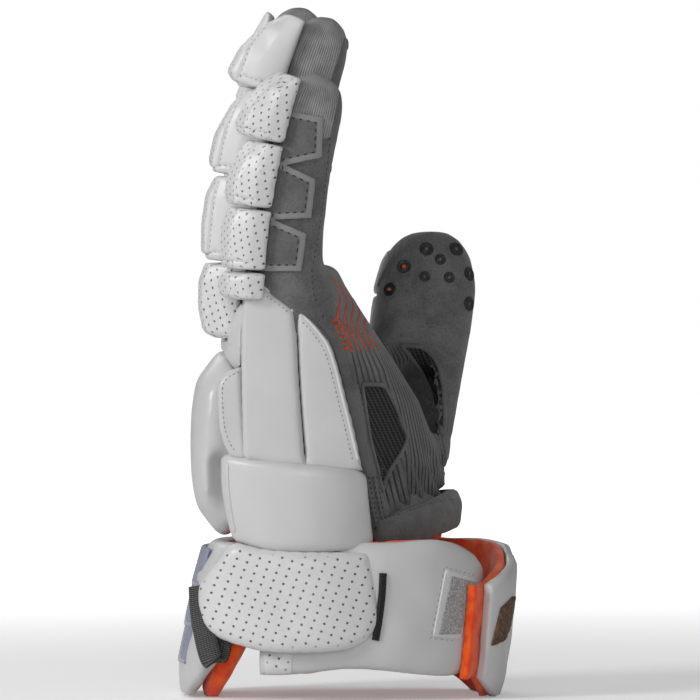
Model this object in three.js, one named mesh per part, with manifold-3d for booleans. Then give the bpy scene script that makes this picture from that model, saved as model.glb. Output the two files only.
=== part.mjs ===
// Right-hand lacrosse glove standing on its cuff with the fingers up, in millimetres.
// +X runs from the back of the hand to the palm, +Y from the little finger to the thumb, +Z up.
import * as THREE from "three";
import { mergeVertices } from "three/addons/utils/BufferGeometryUtils.js";
import Module from "manifold-3d";

const wasm = await Module();
wasm.setup();

// Overall lengths
const cuffHeight = 75; // floor to the wrist seam
const palmLength = 130; // wrist seam to the crotch of the fingers
const fingerLength = 126; // crotch to the tip of the middle finger
const handWidth = 100; // little-finger edge to index edge of the suede body
const handDepth = 100; // reach of the outlines from the back of the hand to the heel of the palm
const thumbLength = 124; // root of the thumb to its tip

// Thicknesses and widths
const wallThickness = 2.2; // suede, mesh and liner sewn together
const liningThickness = 3;
const fingerWidth = 26;
const fingerDepth = 29;
const padWidth = 29.6; // across the back of a finger
const padStrip = 15; // its flat middle strip
const padWrap = 2; // how far a pad reaches down beside its sleeve
const thumbWidth = 49;
const thumbDepth = 34;
const fingerFoam = 20; // pads on the backs of the fingers
const thumbFoam = 12;
const backFoam = 21; // pads on the back of the hand
const sideFoam = 10; // pads on the sides of the hand
const wrapFoam = 15; // bands round the wrist
const flapFoam = 10;
const cuffFoam = 11;
const strapFoam = 6;
const plateThickness = 1.8; // clear plastic plates on the cuff
const patchThickness = 1.2;
const labelThickness = 1.5;
const webbingThickness = 1.8;
const webbingWidth = 11;
const hemThickness = 6.5;

// Clearances
const clearance = 0.3; // between pieces that touch
const padGap = 1.2; // crease between two pads in a row

const colours = {
  whiteLeather: [0xc9c9c9, 0.5],
  perforatedLeather: [0xd2d2d2, 0.55],
  greySuede: [0x5c5c5c, 0.9],
  ribbedKnit: [0x7d7d7d, 0.9],
  darkMesh: [0x2c2c2c, 0.85],
  orangeLining: [0xe84a0c, 0.8],
  clearPlastic: [0x9a9bb0, 0.3],
  webbing: [0x4a4a4a, 0.8],
  brownLeather: [0x4f3a2a, 0.7],
  loopTape: [0x8a8a8a, 0.95],
};

const palmZ = (share) => cuffHeight + share * palmLength;

// The row at share t of a table, each column drawn smoothly through the rows.
function rowAt(rows, t) {
  const last = rows.length - 1;
  const place = Math.min(Math.max(t, 0), 1) * last;
  const start = Math.min(Math.floor(place), last - 1);
  const f = place - start;
  const pick = (k) => rows[Math.min(Math.max(k, 0), last)];
  const [a, b, c, d] = [pick(start - 1), pick(start), pick(start + 1), pick(start + 2)];
  const row = {};
  for (const key of Object.keys(b)) {
    const slope = c[key] - a[key];
    const square = 2 * a[key] - 5 * b[key] + 4 * c[key] - d[key];
    const cube = 3 * b[key] - a[key] - 3 * c[key] + d[key];
    row[key] = b[key] + 0.5 * f * (slope + f * (square + f * cube));
  }
  return row;
}

function solidOf(geometry) {
  const bare = new THREE.BufferGeometry();
  bare.setAttribute("position", geometry.getAttribute("position"));
  if (geometry.index) bare.setIndex(geometry.index);
  const merged = mergeVertices(bare, 1e-4);
  const vertProperties = merged.attributes.position.array;
  const triVerts = new Uint32Array(merged.index.array);
  const make = () => new wasm.Manifold(new wasm.Mesh({ numProp: 3, vertProperties, triVerts }));
  const first = make();
  if (first.volume() > 0) return first;
  for (let i = 0; i < triVerts.length; i += 3) {
    [triVerts[i + 1], triVerts[i + 2]] = [triVerts[i + 2], triVerts[i + 1]];
  }
  return make();
}

// The largest body of a solid, without the slivers that a cut can leave.
function largest(solid) {
  return solid.decompose().reduce((a, b) => (b.volume() > a.volume() ? b : a));
}

function geometryOf(solid) {
  const { numProp, numVert, vertProperties, triVerts } = solid.getMesh();
  const position = new Float32Array(numVert * 3);
  for (let i = 0; i < numVert; i++) {
    position.set(vertProperties.subarray(i * numProp, i * numProp + 3), i * 3);
  }
  const geometry = new THREE.BufferGeometry();
  geometry.setAttribute("position", new THREE.BufferAttribute(position, 3));
  geometry.setIndex(new THREE.BufferAttribute(triVerts, 1));
  geometry.computeVertexNormals();
  return geometry;
}

// Closed solid through rings of points, with a fan over the first and the last ring.
function loft(rings) {
  const count = rings[0].length;
  const points = rings.flat();
  const faces = [];
  for (let r = 0; r < rings.length - 1; r++) {
    for (let k = 0; k < count; k++) {
      const a = r * count + k;
      const b = r * count + ((k + 1) % count);
      faces.push(a, b, b + count, a, b + count, a + count);
    }
  }
  const capped = [
    [0, true],
    [rings.length - 1, false],
  ];
  for (const [r, turned] of capped) {
    const centre = rings[r].reduce((sum, p) => sum.add(p), new THREE.Vector3());
    points.push(centre.divideScalar(count));
    for (let k = 0; k < count; k++) {
      const a = r * count + k;
      const b = r * count + ((k + 1) % count);
      faces.push(points.length - 1, turned ? b : a, turned ? a : b);
    }
  }
  const geometry = new THREE.BufferGeometry().setFromPoints(points);
  return solidOf(geometry.setIndex(faces));
}

// A padded wall that stands between a top and a bottom edge. Each row gives the place of its inner
// face in plan, its top and bottom, and the shift of the bottom edge outwards.
function wall(rows, thickness, { across = 8, up = 4, grow = 0, rim = 0.45, crown = 2.6 } = {}) {
  const inner = (u, v) => {
    const r = rowAt(rows, u);
    return new THREE.Vector3(
      r.x + (1 - v) * (r.dx || 0),
      r.y + (1 - v) * (r.dy || 0),
      r.bottom + v * (r.top - r.bottom),
    );
  };
  const step = 1e-3;
  const along = (u, v) => inner(Math.min(u + step, 1), v).sub(inner(Math.max(u - step, 0), v));
  const rise = (u, v) => inner(u, Math.min(v + step, 1)).sub(inner(u, Math.max(v - step, 0)));
  const fullness = (u, v) => {
    const edge = Math.max(Math.abs(2 * u - 1) ** (crown * 2), Math.abs(2 * v - 1) ** crown);
    return rim + (1 - rim) * Math.sqrt(Math.max(0, 1 - edge));
  };
  const pointAt = (u, v, out) => {
    const way = along(u, v).normalize();
    const climb = rise(u, v).normalize();
    const p = inner(u, v).addScaledVector(way.clone().cross(climb).normalize(), out);
    const endShift = u === 0 ? -grow : u === 1 ? grow : 0;
    const edgeShift = v === 0 ? -grow : v === 1 ? grow : 0;
    return p.addScaledVector(way, endShift).addScaledVector(climb, edgeShift);
  };
  const rings = [];
  for (let i = 0; i <= across; i++) {
    const u = i / across;
    const ring = [];
    for (const v of [0, 1]) ring.push(pointAt(u, v, -grow));
    for (let j = up; j >= 0; j--) ring.push(pointAt(u, j / up, thickness * fullness(u, j / up) + grow));
    rings.push(ring);
  }
  return loft(rings);
}

// Rows given as shares of the glove's sizes, turned to millimetres.
function cuffRows(rows) {
  return rows.map((r) => ({
    x: r.x * handDepth,
    y: r.y * handWidth,
    top: r.top * cuffHeight,
    bottom: r.bottom * cuffHeight,
    dx: (r.dx || 0) * handDepth,
    dy: (r.dy || 0) * handWidth,
  }));
}

function palmRows(rows) {
  return rows.map((r) => ({
    x: r.x * handDepth,
    y: r.y * handWidth,
    top: palmZ(r.top),
    bottom: palmZ(r.bottom),
    dx: (r.dx || 0) * handDepth,
    dy: (r.dy || 0) * handWidth,
  }));
}

const placed = [];
function place(name, look, solid) {
  const [hex, roughness] = colours[look];
  const material = new THREE.MeshStandardMaterial({ color: hex, roughness, metalness: 0 });
  const mesh = new THREE.Mesh(geometryOf(largest(solid)), material);
  mesh.name = name;
  placed.push(mesh);
}

// Pieces are laid one over the other: each gives way, by the clearance, to those laid before it.
// The shape is a function of how much it grows on every side. What dips below the floor is cut flat.
const laid = [];
function lay(name, look, shape) {
  let solid = shape(0).trimByPlane([0, 0, 1], 0);
  const { min, max } = solid.boundingBox();
  for (const { box, grown } of laid) {
    const apart = [0, 1, 2].some((k) => box.max[k] < min[k] || box.min[k] > max[k]);
    if (!apart) solid = solid.subtract(grown);
  }
  place(name, look, solid);
  block(shape(clearance));
}

function block(grown) {
  laid.push({ box: grown.boundingBox(), grown });
}

// Outline of the suede body at each level: its back, its corners at the little finger, the ridge of
// the palm and the heel of the thumb, as shares of the hand's depth and width. The lift raises the
// palm side of a level.
const bodyLevels = [
  {
    z: 0, back: -0.3, edgeBack: -0.2, edgeFront: 0.36, ridge: 0.66, ridgeY: 0.1, heel: 0.66,
    wide: 1, lift: 0.14,
  },
  {
    z: 0.14, back: -0.31, edgeBack: -0.2, edgeFront: 0.34, ridge: 0.66, ridgeY: 0.08, heel: 0.67,
    wide: 1, lift: 0.06,
  },
  {
    z: 0.33, back: -0.32, edgeBack: -0.21, edgeFront: 0.31, ridge: 0.65, ridgeY: 0.05, heel: 0.64,
    wide: 1, lift: 0,
  },
  {
    z: 0.5, back: -0.31, edgeBack: -0.22, edgeFront: 0.27, ridge: 0.575, ridgeY: 0.02, heel: 0.5,
    wide: 1.02, lift: 0,
  },
  {
    z: 0.66, back: -0.3, edgeBack: -0.23, edgeFront: 0.225, ridge: 0.45, ridgeY: 0, heel: 0.36,
    wide: 1.07, lift: 0,
  },
  {
    z: 0.81, back: -0.29, edgeBack: -0.24, edgeFront: 0.18, ridge: 0.32, ridgeY: -0.03, heel: 0.22,
    wide: 1.15, lift: 0,
  },
  {
    z: 0.95, back: -0.27, edgeBack: -0.24, edgeFront: 0.13, ridge: 0.2, ridgeY: -0.05, heel: 0.12,
    wide: 1.2, lift: 0,
  },
];

function bodyRing(level, grow, sides) {
  const half = 0.5 * handWidth * level.wide;
  const x = (share) => share * handDepth;
  const corners = [
    [x(level.back) - grow, 0],
    [x(level.edgeBack) - grow, -0.78 * half - grow],
    [x(0.35 * level.edgeBack + 0.25 * level.edgeFront), -1.03 * half - grow],
    [x(level.edgeFront) + grow * 0.5, -0.84 * half - grow * 0.9],
    [x(0.5 * (level.edgeFront + level.ridge) + 0.015) + grow, level.ridgeY * handWidth - 0.46 * half],
    [x(level.ridge) + grow, level.ridgeY * handWidth],
    [x(level.heel) + grow, 0.56 * half + grow * 0.5],
    [x(0.4 * level.heel), 1.02 * half + grow],
    [x(level.edgeBack) - grow, 0.8 * half + grow],
  ].map(([cx, cy]) => new THREE.Vector3(cx, cy, 0));
  const outline = new THREE.CatmullRomCurve3(corners, true, "centripetal");
  const ridgeLead = 10; // distance before the front edge where the ridge starts to rise
  const lowest = x(level.edgeFront) - ridgeLead;
  return outline.getPoints(sides).slice(0, sides).map((p) => {
    const forward = Math.max(0, (p.x - lowest) / (x(level.ridge) - lowest));
    return new THREE.Vector3(p.x, p.y, palmZ(level.z + level.lift * forward));
  });
}

function handBody(grow, sides = 26) {
  const rings = bodyLevels.map((level) => bodyRing(level, grow, sides));
  if (grow > 0) rings[0].forEach((p) => p.setZ(p.z - 4 * grow));
  const top = rings[rings.length - 1];
  const middle = top.reduce((sum, p) => sum.add(p), new THREE.Vector3()).divideScalar(top.length);
  const dome = [
    { inset: 0.93, rise: 5 },
    { inset: 0.7, rise: 8 },
  ];
  for (const { inset, rise } of dome) {
    const lifted = middle.clone().setZ(middle.z + rise + grow);
    rings.push(top.map((p) => p.clone().sub(middle).multiplyScalar(inset).add(lifted)));
  }
  return loft(rings);
}

// A block under the wrist seam that lengthens a hollow through the open bottom.
function below(ring, drop) {
  return loft([ring.map((p) => p.clone().setZ(p.z - drop)), ring.map((p) => p.clone())]);
}

// A round-cornered section of a finger or thumb, square to its line.
function sleeveRing(frame, halfWidth, halfDepth, sides) {
  const ring = [];
  const squareness = 0.72;
  for (let k = 0; k < sides; k++) {
    const a = (2 * Math.PI * k) / sides;
    const c = Math.sign(Math.cos(a)) * Math.abs(Math.cos(a)) ** squareness;
    const s = Math.sign(Math.sin(a)) * Math.abs(Math.sin(a)) ** squareness;
    const p = frame.centre.clone().addScaledVector(frame.front, c * halfDepth);
    ring.push(p.addScaledVector(frame.side, s * halfWidth));
  }
  return ring;
}

// Each finger: where it starts across and behind the hand, how far it fans and curls, its length,
// the turn of its back towards the little finger, its depth at the root, the foam at its root and how
// much of it the tip has, and the creases between its pads.
const fingers = [
  {
    name: "pinky", y: -0.46, x: -0.062, fan: -0.02, curl: 0.167, reach: 0.73,
    turn: 18, root: 1.18, foam: 0.74, tipFoam: 1.15, knuckle: 0, low: 0.39, high: 0.67,
  },
  {
    name: "ring", y: -0.165, x: -0.118, fan: -0.012, curl: 0.268, reach: 0.952,
    turn: 9, root: 1.06, foam: 1.06, tipFoam: 1, knuckle: -0.13, low: 0.408, high: 0.7,
  },
  {
    name: "middle", y: 0.135, x: -0.13, fan: 0.012, curl: 0.14, reach: 1,
    turn: -3, root: 1.06, foam: 1, tipFoam: 0.3, knuckle: -0.13, low: 0.41, high: 0.7,
  },
  {
    name: "index", y: 0.43, x: -0.08, fan: 0.03, curl: 0.16, reach: 0.89,
    turn: -16, root: 1.08, foam: 0.86, tipFoam: 0.9, knuckle: -0.04, low: 0.4, high: 0.69,
  },
];
const fingerRoot = 15; // length of each sleeve inside the hand
const fingerTipShare = 0.13; // share of a sleeve that rounds off
const padStart = 0.125; // share of a finger where its lowest pad starts
const padEnd = 0.955;

function fingerFrame(finger, s) {
  const rootZ = palmZ(1) - fingerRoot;
  const spine = (t) =>
    new THREE.Vector3(
      (finger.x + finger.curl * t * t) * handDepth,
      (finger.y + finger.fan * t) * handWidth,
      rootZ + (fingerRoot + finger.reach * fingerLength) * t,
    );
  const along = spine(s + 0.01).sub(spine(s - 0.01)).normalize();
  const front = new THREE.Vector3(1, 0, 0);
  front.addScaledVector(along, -front.dot(along)).normalize();
  front.applyAxisAngle(along, THREE.MathUtils.degToRad(finger.turn));
  const side = along.clone().cross(front);
  return { centre: spine(s), along, front, side };
}

function fingerSolid(finger, grow, sides = 12) {
  const tipStart = 1 - fingerTipShare;
  const stations = [0, 0.3, 0.58, tipStart];
  for (const past of [0.5, 0.82, 0.98]) stations.push(tipStart + fingerTipShare * past);
  const rings = stations.map((s) => {
    const past = Math.max(0, (s - tipStart) / fingerTipShare);
    const round = Math.sqrt(1 - past * past);
    const depth = 1 + (finger.root - 1) * (1 - s);
    const frame = fingerFrame(finger, s);
    frame.centre.addScaledVector(frame.along, s === 0 ? -2 * grow : grow * past);
    const halfWidth = 0.5 * fingerWidth * round + grow;
    const halfDepth = 0.5 * fingerDepth * depth * round + grow;
    return sleeveRing(frame, Math.max(1.5, halfWidth), Math.max(1.5, halfDepth), sides);
  });
  return loft(rings);
}

// Sections of a finger pad from its lower to its upper end, as shares of its foam.
const padShapes = {
  knuckle: [0.62, 0.9, 1, 1, 0.86],
  lower_pad: [0.8, 0.98, 1.02, 1, 0.84],
  middle_pad: [0.9, 1.06, 1.04, 0.84, 0.6],
  tip_pad: [0.92, 1.12, 1, 0.68, 0.25],
};

// A pad across the back of a finger between two shares of its length, with a flat strip along its
// middle and sloping sides.
function fingerPad(finger, from, to, shape, grow = 0) {
  const half = 0.5 * padWidth + grow;
  const strip = 0.5 * padStrip;
  const rings = [0, 0.1, 0.42, 0.76, 1].map((t, k) => {
    const s = from + (to - from) * t;
    const frame = fingerFrame(finger, s);
    const back = 0.5 * fingerDepth * (1 + (finger.root - 1) * (1 - s));
    const base = back - padWrap - grow;
    const foam = finger.foam * (1 + (finger.tipFoam - 1) * Math.max(0, s)) * fingerFoam;
    const height = back + foam * padShapes[shape][k] + grow;
    const shoulder = back + 0.5 * (height - back);
    const shift = k === 0 ? -grow : k === 4 ? grow : 0;
    const section = [
      [-half * 0.96, base],
      [-half, back],
      [-half * 0.94, shoulder],
      [-strip, height],
      [strip, height],
      [half * 0.94, shoulder],
      [half, back],
      [half * 0.96, base],
    ];
    return section.map(([across, out]) =>
      frame.centre
        .clone()
        .addScaledVector(frame.along, shift)
        .addScaledVector(frame.side, across)
        .addScaledVector(frame.front, -out),
    );
  });
  return loft(rings);
}

// The thumb's sections from root to tip. x, y and z are shares of the hand's depth and width and of
// the thumb's length; wide and deep are shares of its width and depth.
const thumbLevels = [
  { x: 0.45, y: 0.26, z: 0, wide: 0.94, deep: 1.1 },
  { x: 0.505, y: 0.35, z: 0.25, wide: 0.97, deep: 1.1 },
  { x: 0.555, y: 0.425, z: 0.46, wide: 0.96, deep: 1.02 },
  { x: 0.595, y: 0.47, z: 0.66, wide: 0.99, deep: 0.96 },
  { x: 0.615, y: 0.495, z: 0.8, wide: 1, deep: 0.9 },
  { x: 0.625, y: 0.505, z: 0.91, wide: 0.84, deep: 0.76 },
  { x: 0.63, y: 0.51, z: 0.97, wide: 0.6, deep: 0.56 },
  { x: 0.63, y: 0.51, z: 1, wide: 0.3, deep: 0.3 },
];
const thumbRoot = 0.18; // share of the palm's length below which the thumb doesn't start
const thumbTurn = 12; // degrees that its face turns towards the heel of the hand

function thumbFrame(share) {
  const spot = (t) => {
    const r = rowAt(thumbLevels, t);
    return new THREE.Vector3(r.x * handDepth, r.y * handWidth, palmZ(thumbRoot) + r.z * thumbLength);
  };
  const along = spot(Math.min(share + 0.02, 1)).sub(spot(Math.max(share - 0.02, 0))).normalize();
  const front = new THREE.Vector3(0, -1, 0);
  front.addScaledVector(along, -front.dot(along)).normalize();
  front.applyAxisAngle(along, THREE.MathUtils.degToRad(thumbTurn));
  return { centre: spot(share), along, front, side: along.clone().cross(front) };
}

function thumbSolid(grow, sides = 16) {
  const count = thumbLevels.length - 1;
  const rings = thumbLevels.map((level, k) => {
    const frame = thumbFrame(k / count);
    if (k === 0) frame.centre.addScaledVector(frame.along, -2 * grow);
    if (level.z > 0.85) frame.centre.addScaledVector(frame.along, grow);
    const halfWidth = 0.5 * thumbWidth * level.wide + grow;
    const halfDepth = 0.5 * thumbDepth * level.deep + grow;
    return sleeveRing(frame, Math.max(2, halfWidth), Math.max(2, halfDepth), sides);
  });
  return loft(rings);
}

// The hollow for the hand: body, fingers and thumb run into each other.
const bodyInner = handBody(-wallThickness, 18);
const mouthDepth = 20; // depth of the cut that opens the hollow at the wrist
const bodyMouth = below(bodyRing(bodyLevels[0], -wallThickness, 18), mouthDepth);
const fingerInner = fingers.map((finger) => fingerSolid(finger, -wallThickness, 8));
const thumbInner = thumbSolid(-wallThickness, 10);
const bodyGrown = handBody(clearance);
const fingerGrown = fingers.map((finger) => fingerSolid(finger, clearance));
const thumbGrown = thumbSolid(clearance);

let body = handBody(0).subtract(bodyInner).subtract(bodyMouth).subtract(thumbInner);
for (const hollow of fingerInner) body = body.subtract(hollow);

const sleeves = fingers.map((finger, k) => {
  let sleeve = fingerSolid(finger, 0).subtract(fingerInner[k]).subtract(bodyGrown);
  for (let other = 0; other < k; other++) sleeve = sleeve.subtract(fingerGrown[other]);
  return sleeve;
});
const thumb = thumbSolid(0).subtract(thumbInner).subtract(bodyGrown);

// An outline in the side view, cut right through from one place across the hand to another.
function sidePrism(points, fromY, toY, shrink = 0) {
  const sum = points.reduce((total, p) => [total[0] + p[0], total[1] + p[1]], [0, 0]);
  const middle = sum.map((v) => v / points.length);
  const drawn = points.map(([x, z]) => {
    const away = new THREE.Vector2(x - middle[0], z - middle[1]);
    return away.setLength(away.length() - shrink).add(new THREE.Vector2(...middle));
  });
  const shape = new THREE.Shape(drawn);
  const geometry = new THREE.ExtrudeGeometry(shape, { depth: toY - fromY, bevelEnabled: false });
  geometry.rotateX(Math.PI / 2).translate(0, toY, 0);
  return solidOf(geometry);
}

const sidePoints = (rows) => rows.map((r) => [r.x * handDepth, palmZ(r.z)]);

// Mesh windows in the palm, as seen from the little-finger side.
const meshWindows = [
  {
    name: "palm_mesh_heel",
    from: -0.45,
    to: -0.02,
    outline: [
      { x: 0.25, z: 0.6 },
      { x: 0.36, z: 0.59 },
      { x: 0.43, z: 0.5 },
      { x: 0.455, z: 0.42 },
      { x: 0.5, z: 0.35 },
      { x: 0.45, z: 0.24 },
      { x: 0.39, z: 0.15 },
      { x: 0.34, z: 0.27 },
    ],
  },
  {
    name: "palm_mesh_thumb",
    from: 0.02,
    to: 0.48,
    outline: [
      { x: 0.42, z: 0.72 },
      { x: 0.56, z: 0.7 },
      { x: 0.63, z: 0.62 },
      { x: 0.65, z: 0.52 },
      { x: 0.655, z: 0.34 },
      { x: 0.61, z: 0.3 },
      { x: 0.5, z: 0.52 },
    ],
  },
];

function windowCut({ outline, from, to }, shrink) {
  return sidePrism(sidePoints(outline), from * handWidth, to * handWidth, shrink);
}

const heelWindow = meshWindows[0];
const heelCut = (shrink) => windowCut(heelWindow, shrink);
const thumbWindow = meshWindows[1];
const thumbCut = (shrink) => windowCut(thumbWindow, shrink);
const meshInset = 0.6; // depth of the mesh below the suede

place("hand_body", "greySuede", body.subtract(heelCut(0)));
const heelMesh = handBody(-meshInset).subtract(bodyInner).subtract(bodyMouth).subtract(thumbInner);
place(heelWindow.name, "darkMesh", heelMesh.intersect(heelCut(clearance)));
fingers.forEach((finger, k) => place(`${finger.name}_sleeve`, "ribbedKnit", sleeves[k]));
place("thumb_sleeve", "greySuede", thumb.subtract(thumbCut(0)));
const thumbMesh = thumbSolid(-meshInset).subtract(thumbInner).subtract(bodyGrown);
place(thumbWindow.name, "darkMesh", thumbMesh.intersect(thumbCut(clearance)));

[bodyGrown, thumbGrown, ...fingerGrown].forEach(block);

// Pads on the backs of the fingers, with the knuckle pad below them.
for (const finger of fingers) {
  const crease = padGap / (fingerRoot + finger.reach * fingerLength);
  const bounds = [
    { shape: "knuckle", from: finger.knuckle, to: padStart - crease },
    { shape: "lower_pad", from: padStart, to: finger.low - crease },
    { shape: "middle_pad", from: finger.low, to: finger.high - crease },
    { shape: "tip_pad", from: finger.high, to: padEnd },
  ];
  for (const { shape, from, to } of bounds) {
    const look = shape === "knuckle" || finger.name === "pinky" ? "perforatedLeather" : "whiteLeather";
    lay(`${finger.name}_${shape}`, look, (grow) => fingerPad(finger, from, to, shape, grow));
  }
}

// Pads on the back of the thumb, on the side away from the fingers.
const thumbPads = [
  { name: "thumb_tip_pad", from: 0.51, to: 0.735, rise: [0.9, 1, 0.85, 0.25] },
  { name: "thumb_middle_pad", from: 0.335, to: 0.5, rise: [0.85, 1, 1, 0.8] },
  { name: "thumb_lower_pad", from: 0.12, to: 0.325, rise: [0.6, 1, 1, 0.8] },
];

function thumbPad({ from, to, rise }, grow = 0) {
  const rings = [0, 0.12, 0.7, 1].map((t, k) => {
    const share = from + (to - from) * t;
    const frame = thumbFrame(share);
    const level = rowAt(thumbLevels, share);
    const half = 0.47 * thumbWidth * level.wide + grow;
    const back = 0.3 * thumbDepth * level.deep;
    const height = 0.5 * thumbDepth * level.deep + thumbFoam * rise[k] + grow;
    const section = [
      [-half, back - grow],
      [-half * 0.98, 0.5 * (back + height)],
      [-half * 0.66, height],
      [0, height + 0.12 * thumbFoam],
      [half * 0.66, height],
      [half * 0.98, 0.5 * (back + height)],
      [half, back - grow],
    ];
    const shift = k === 0 ? -grow : k === 3 ? grow : 0;
    return section.map(([across, out]) =>
      frame.centre
        .clone()
        .addScaledVector(frame.along, shift)
        .addScaledVector(frame.side, across)
        .addScaledVector(frame.front, -out),
    );
  });
  return loft(rings);
}

for (const pad of thumbPads) lay(pad.name, "whiteLeather", (grow) => thumbPad(pad, grow));

// Padded walls round the hand and the cuff. Rows run anticlockwise seen from above, so that the
// outside lies to the right of the way.
const mirrored = (rows) => rows.map((r) => ({ ...r, y: -r.y, dy: -(r.dy || 0) })).reverse();

function layWall(name, look, rows, thickness, options) {
  lay(name, look, (grow) => wall(rows, thickness, { ...options, grow }));
}

const wrapRows = palmRows([
  { x: -0.335, y: -0.28, top: 0.31, bottom: 0.03 },
  { x: -0.26, y: -0.41, top: 0.325, bottom: -0.015 },
  { x: -0.05, y: -0.5, top: 0.31, bottom: -0.035 },
  { x: 0.15, y: -0.485, top: 0.29, bottom: -0.03 },
  { x: 0.31, y: -0.37, top: 0.27, bottom: -0.01 },
]);
const wrapOptions = { across: 8, up: 5, rim: 0.66, crown: 4 };
layWall("outer_wrist_wrap", "whiteLeather", wrapRows, wrapFoam, wrapOptions);
layWall("inner_wrist_wrap", "whiteLeather", mirrored(wrapRows), wrapFoam, wrapOptions);

const backPadRows = palmRows([
  { x: -0.235, y: 0.33, top: 0.6, bottom: 0.1 },
  { x: -0.295, y: 0.2, top: 0.68, bottom: 0.02 },
  { x: -0.31, y: 0, top: 0.7, bottom: 0 },
  { x: -0.295, y: -0.2, top: 0.68, bottom: 0.02 },
  { x: -0.235, y: -0.33, top: 0.6, bottom: 0.1 },
]);
layWall("back_pad", "whiteLeather", backPadRows, backFoam, { across: 8, up: 6, rim: 0.35 });

// A pad on the side of the hand, from its outline seen from that side, with a rounded rim. Its hidden
// face lies inside the body.
function sidePad(outline, outer, hand, grow) {
  const drawn = outline.map((r) => new THREE.Vector2(r.x * handDepth, palmZ(r.z)));
  const middle = drawn.reduce((sum, p) => sum.add(p), new THREE.Vector2()).divideScalar(drawn.length);
  const inner = 0.3 * handWidth;
  const edge = 0.3 * sideFoam;
  const levels = [
    { inset: 0, y: inner - grow },
    { inset: 0, y: outer - edge },
    { inset: 0.3 * edge, y: outer - 0.3 * edge },
    { inset: edge, y: outer },
  ];
  const rings = levels.map(({ inset, y }, k) =>
    drawn.map((p) => {
      const away = p.clone().sub(middle);
      const long = away.length();
      away.setLength(Math.max(0.2 * long, long - inset + grow));
      return new THREE.Vector3(middle.x + away.x, hand * (y + (k > 0 ? grow : 0)), middle.y + away.y);
    }),
  );
  return loft(rings);
}

const longPad = [
  { x: -0.258, z: 0.885 },
  { x: -0.24, z: 0.94 },
  { x: -0.2, z: 0.945 },
  { x: -0.05, z: 0.865 },
  { x: -0.033, z: 0.838 },
  { x: -0.024, z: 0.7 },
  { x: -0.019, z: 0.585 },
  { x: 0, z: 0.4 },
  { x: 0.016, z: 0.27 },
  { x: -0.24, z: 0.27 },
  { x: -0.25, z: 0.4 },
  { x: -0.266, z: 0.66 },
];
const frontPad = [
  { x: -0.02, z: 0.855 },
  { x: 0.06, z: 0.8 },
  { x: 0.138, z: 0.723 },
  { x: 0.185, z: 0.64 },
  { x: 0.215, z: 0.531 },
  { x: 0.25, z: 0.4 },
  { x: 0.28, z: 0.27 },
  { x: 0.02, z: 0.27 },
  { x: 0.012, z: 0.4 },
  { x: -0.006, z: 0.585 },
  { x: -0.014, z: 0.7 },
];
const backInsert = [
  { x: -0.3, z: 0.635 },
  { x: -0.275, z: 0.65 },
  { x: -0.262, z: 0.4 },
  { x: -0.252, z: 0.31 },
  { x: -0.37, z: 0.31 },
  { x: -0.375, z: 0.5 },
];
const sideOuter = 0.505 * handWidth + sideFoam;
for (const [hand, label] of [
  [-1, "outer"],
  [1, "inner"],
]) {
  lay(`${label}_long_pad`, "whiteLeather", (grow) => sidePad(longPad, sideOuter, hand, grow));
  lay(`${label}_front_pad`, "whiteLeather", (grow) => sidePad(frontPad, sideOuter - 1, hand, grow));
  lay(`${label}_back_insert`, "whiteLeather", (grow) => sidePad(backInsert, sideOuter - 3, hand, grow));
}

// Band of soft leather between the knuckles and the pad on the back of the hand.
const saddleRows = palmRows([
  { x: -0.14, y: 0.53, top: 0.93, bottom: 0.62 },
  { x: -0.22, y: 0.42, top: 0.9, bottom: 0.6 },
  { x: -0.28, y: 0.2, top: 0.8, bottom: 0.6 },
  { x: -0.29, y: 0, top: 0.79, bottom: 0.6 },
  { x: -0.28, y: -0.2, top: 0.8, bottom: 0.6 },
  { x: -0.22, y: -0.42, top: 0.9, bottom: 0.6 },
  { x: -0.14, y: -0.53, top: 0.93, bottom: 0.62 },
]);
layWall("back_saddle", "whiteLeather", saddleRows, sideFoam, { across: 8, up: 3, rim: 0.6 });

// Perforated flaps that hang from the wrist wraps over the sides of the cuff.
const flapRows = cuffRows([
  { x: -0.42, y: -0.34, top: 0.72, bottom: 0.56, dx: -0.02, dy: -0.02 },
  { x: -0.36, y: -0.44, top: 0.85, bottom: 0.42, dx: -0.02, dy: -0.03 },
  { x: -0.24, y: -0.51, top: 0.95, bottom: 0.35, dy: -0.035 },
  { x: -0.04, y: -0.555, top: 0.97, bottom: 0.315, dy: -0.04 },
  { x: 0.14, y: -0.555, top: 0.95, bottom: 0.32, dy: -0.04 },
  { x: 0.27, y: -0.53, top: 0.93, bottom: 0.36, dy: -0.035 },
  { x: 0.36, y: -0.49, top: 0.8, bottom: 0.48, dy: -0.03 },
]);
const flapOptions = { across: 10, up: 5, rim: 0.4, crown: 3.4 };
layWall("outer_cuff_flap", "perforatedLeather", flapRows, flapFoam, flapOptions);
layWall("inner_cuff_flap", "perforatedLeather", mirrored(flapRows), flapFoam, flapOptions);

// The back of the cuff flares out to the floor.
const cuffBackRows = cuffRows([
  { x: -0.12, y: 0.47, top: 0.98, bottom: 0.5, dx: -0.1, dy: 0.02 },
  { x: -0.25, y: 0.39, top: 0.99, bottom: 0.15, dx: -0.14, dy: 0.01 },
  { x: -0.31, y: 0.22, top: 0.995, bottom: -0.02, dx: -0.17 },
  { x: -0.325, y: 0, top: 0.995, bottom: -0.02, dx: -0.17 },
  { x: -0.31, y: -0.22, top: 0.995, bottom: -0.02, dx: -0.17 },
  { x: -0.25, y: -0.39, top: 0.99, bottom: 0.15, dx: -0.14, dy: -0.01 },
  { x: -0.12, y: -0.47, top: 0.98, bottom: 0.5, dx: -0.1, dy: -0.02 },
]);

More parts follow.
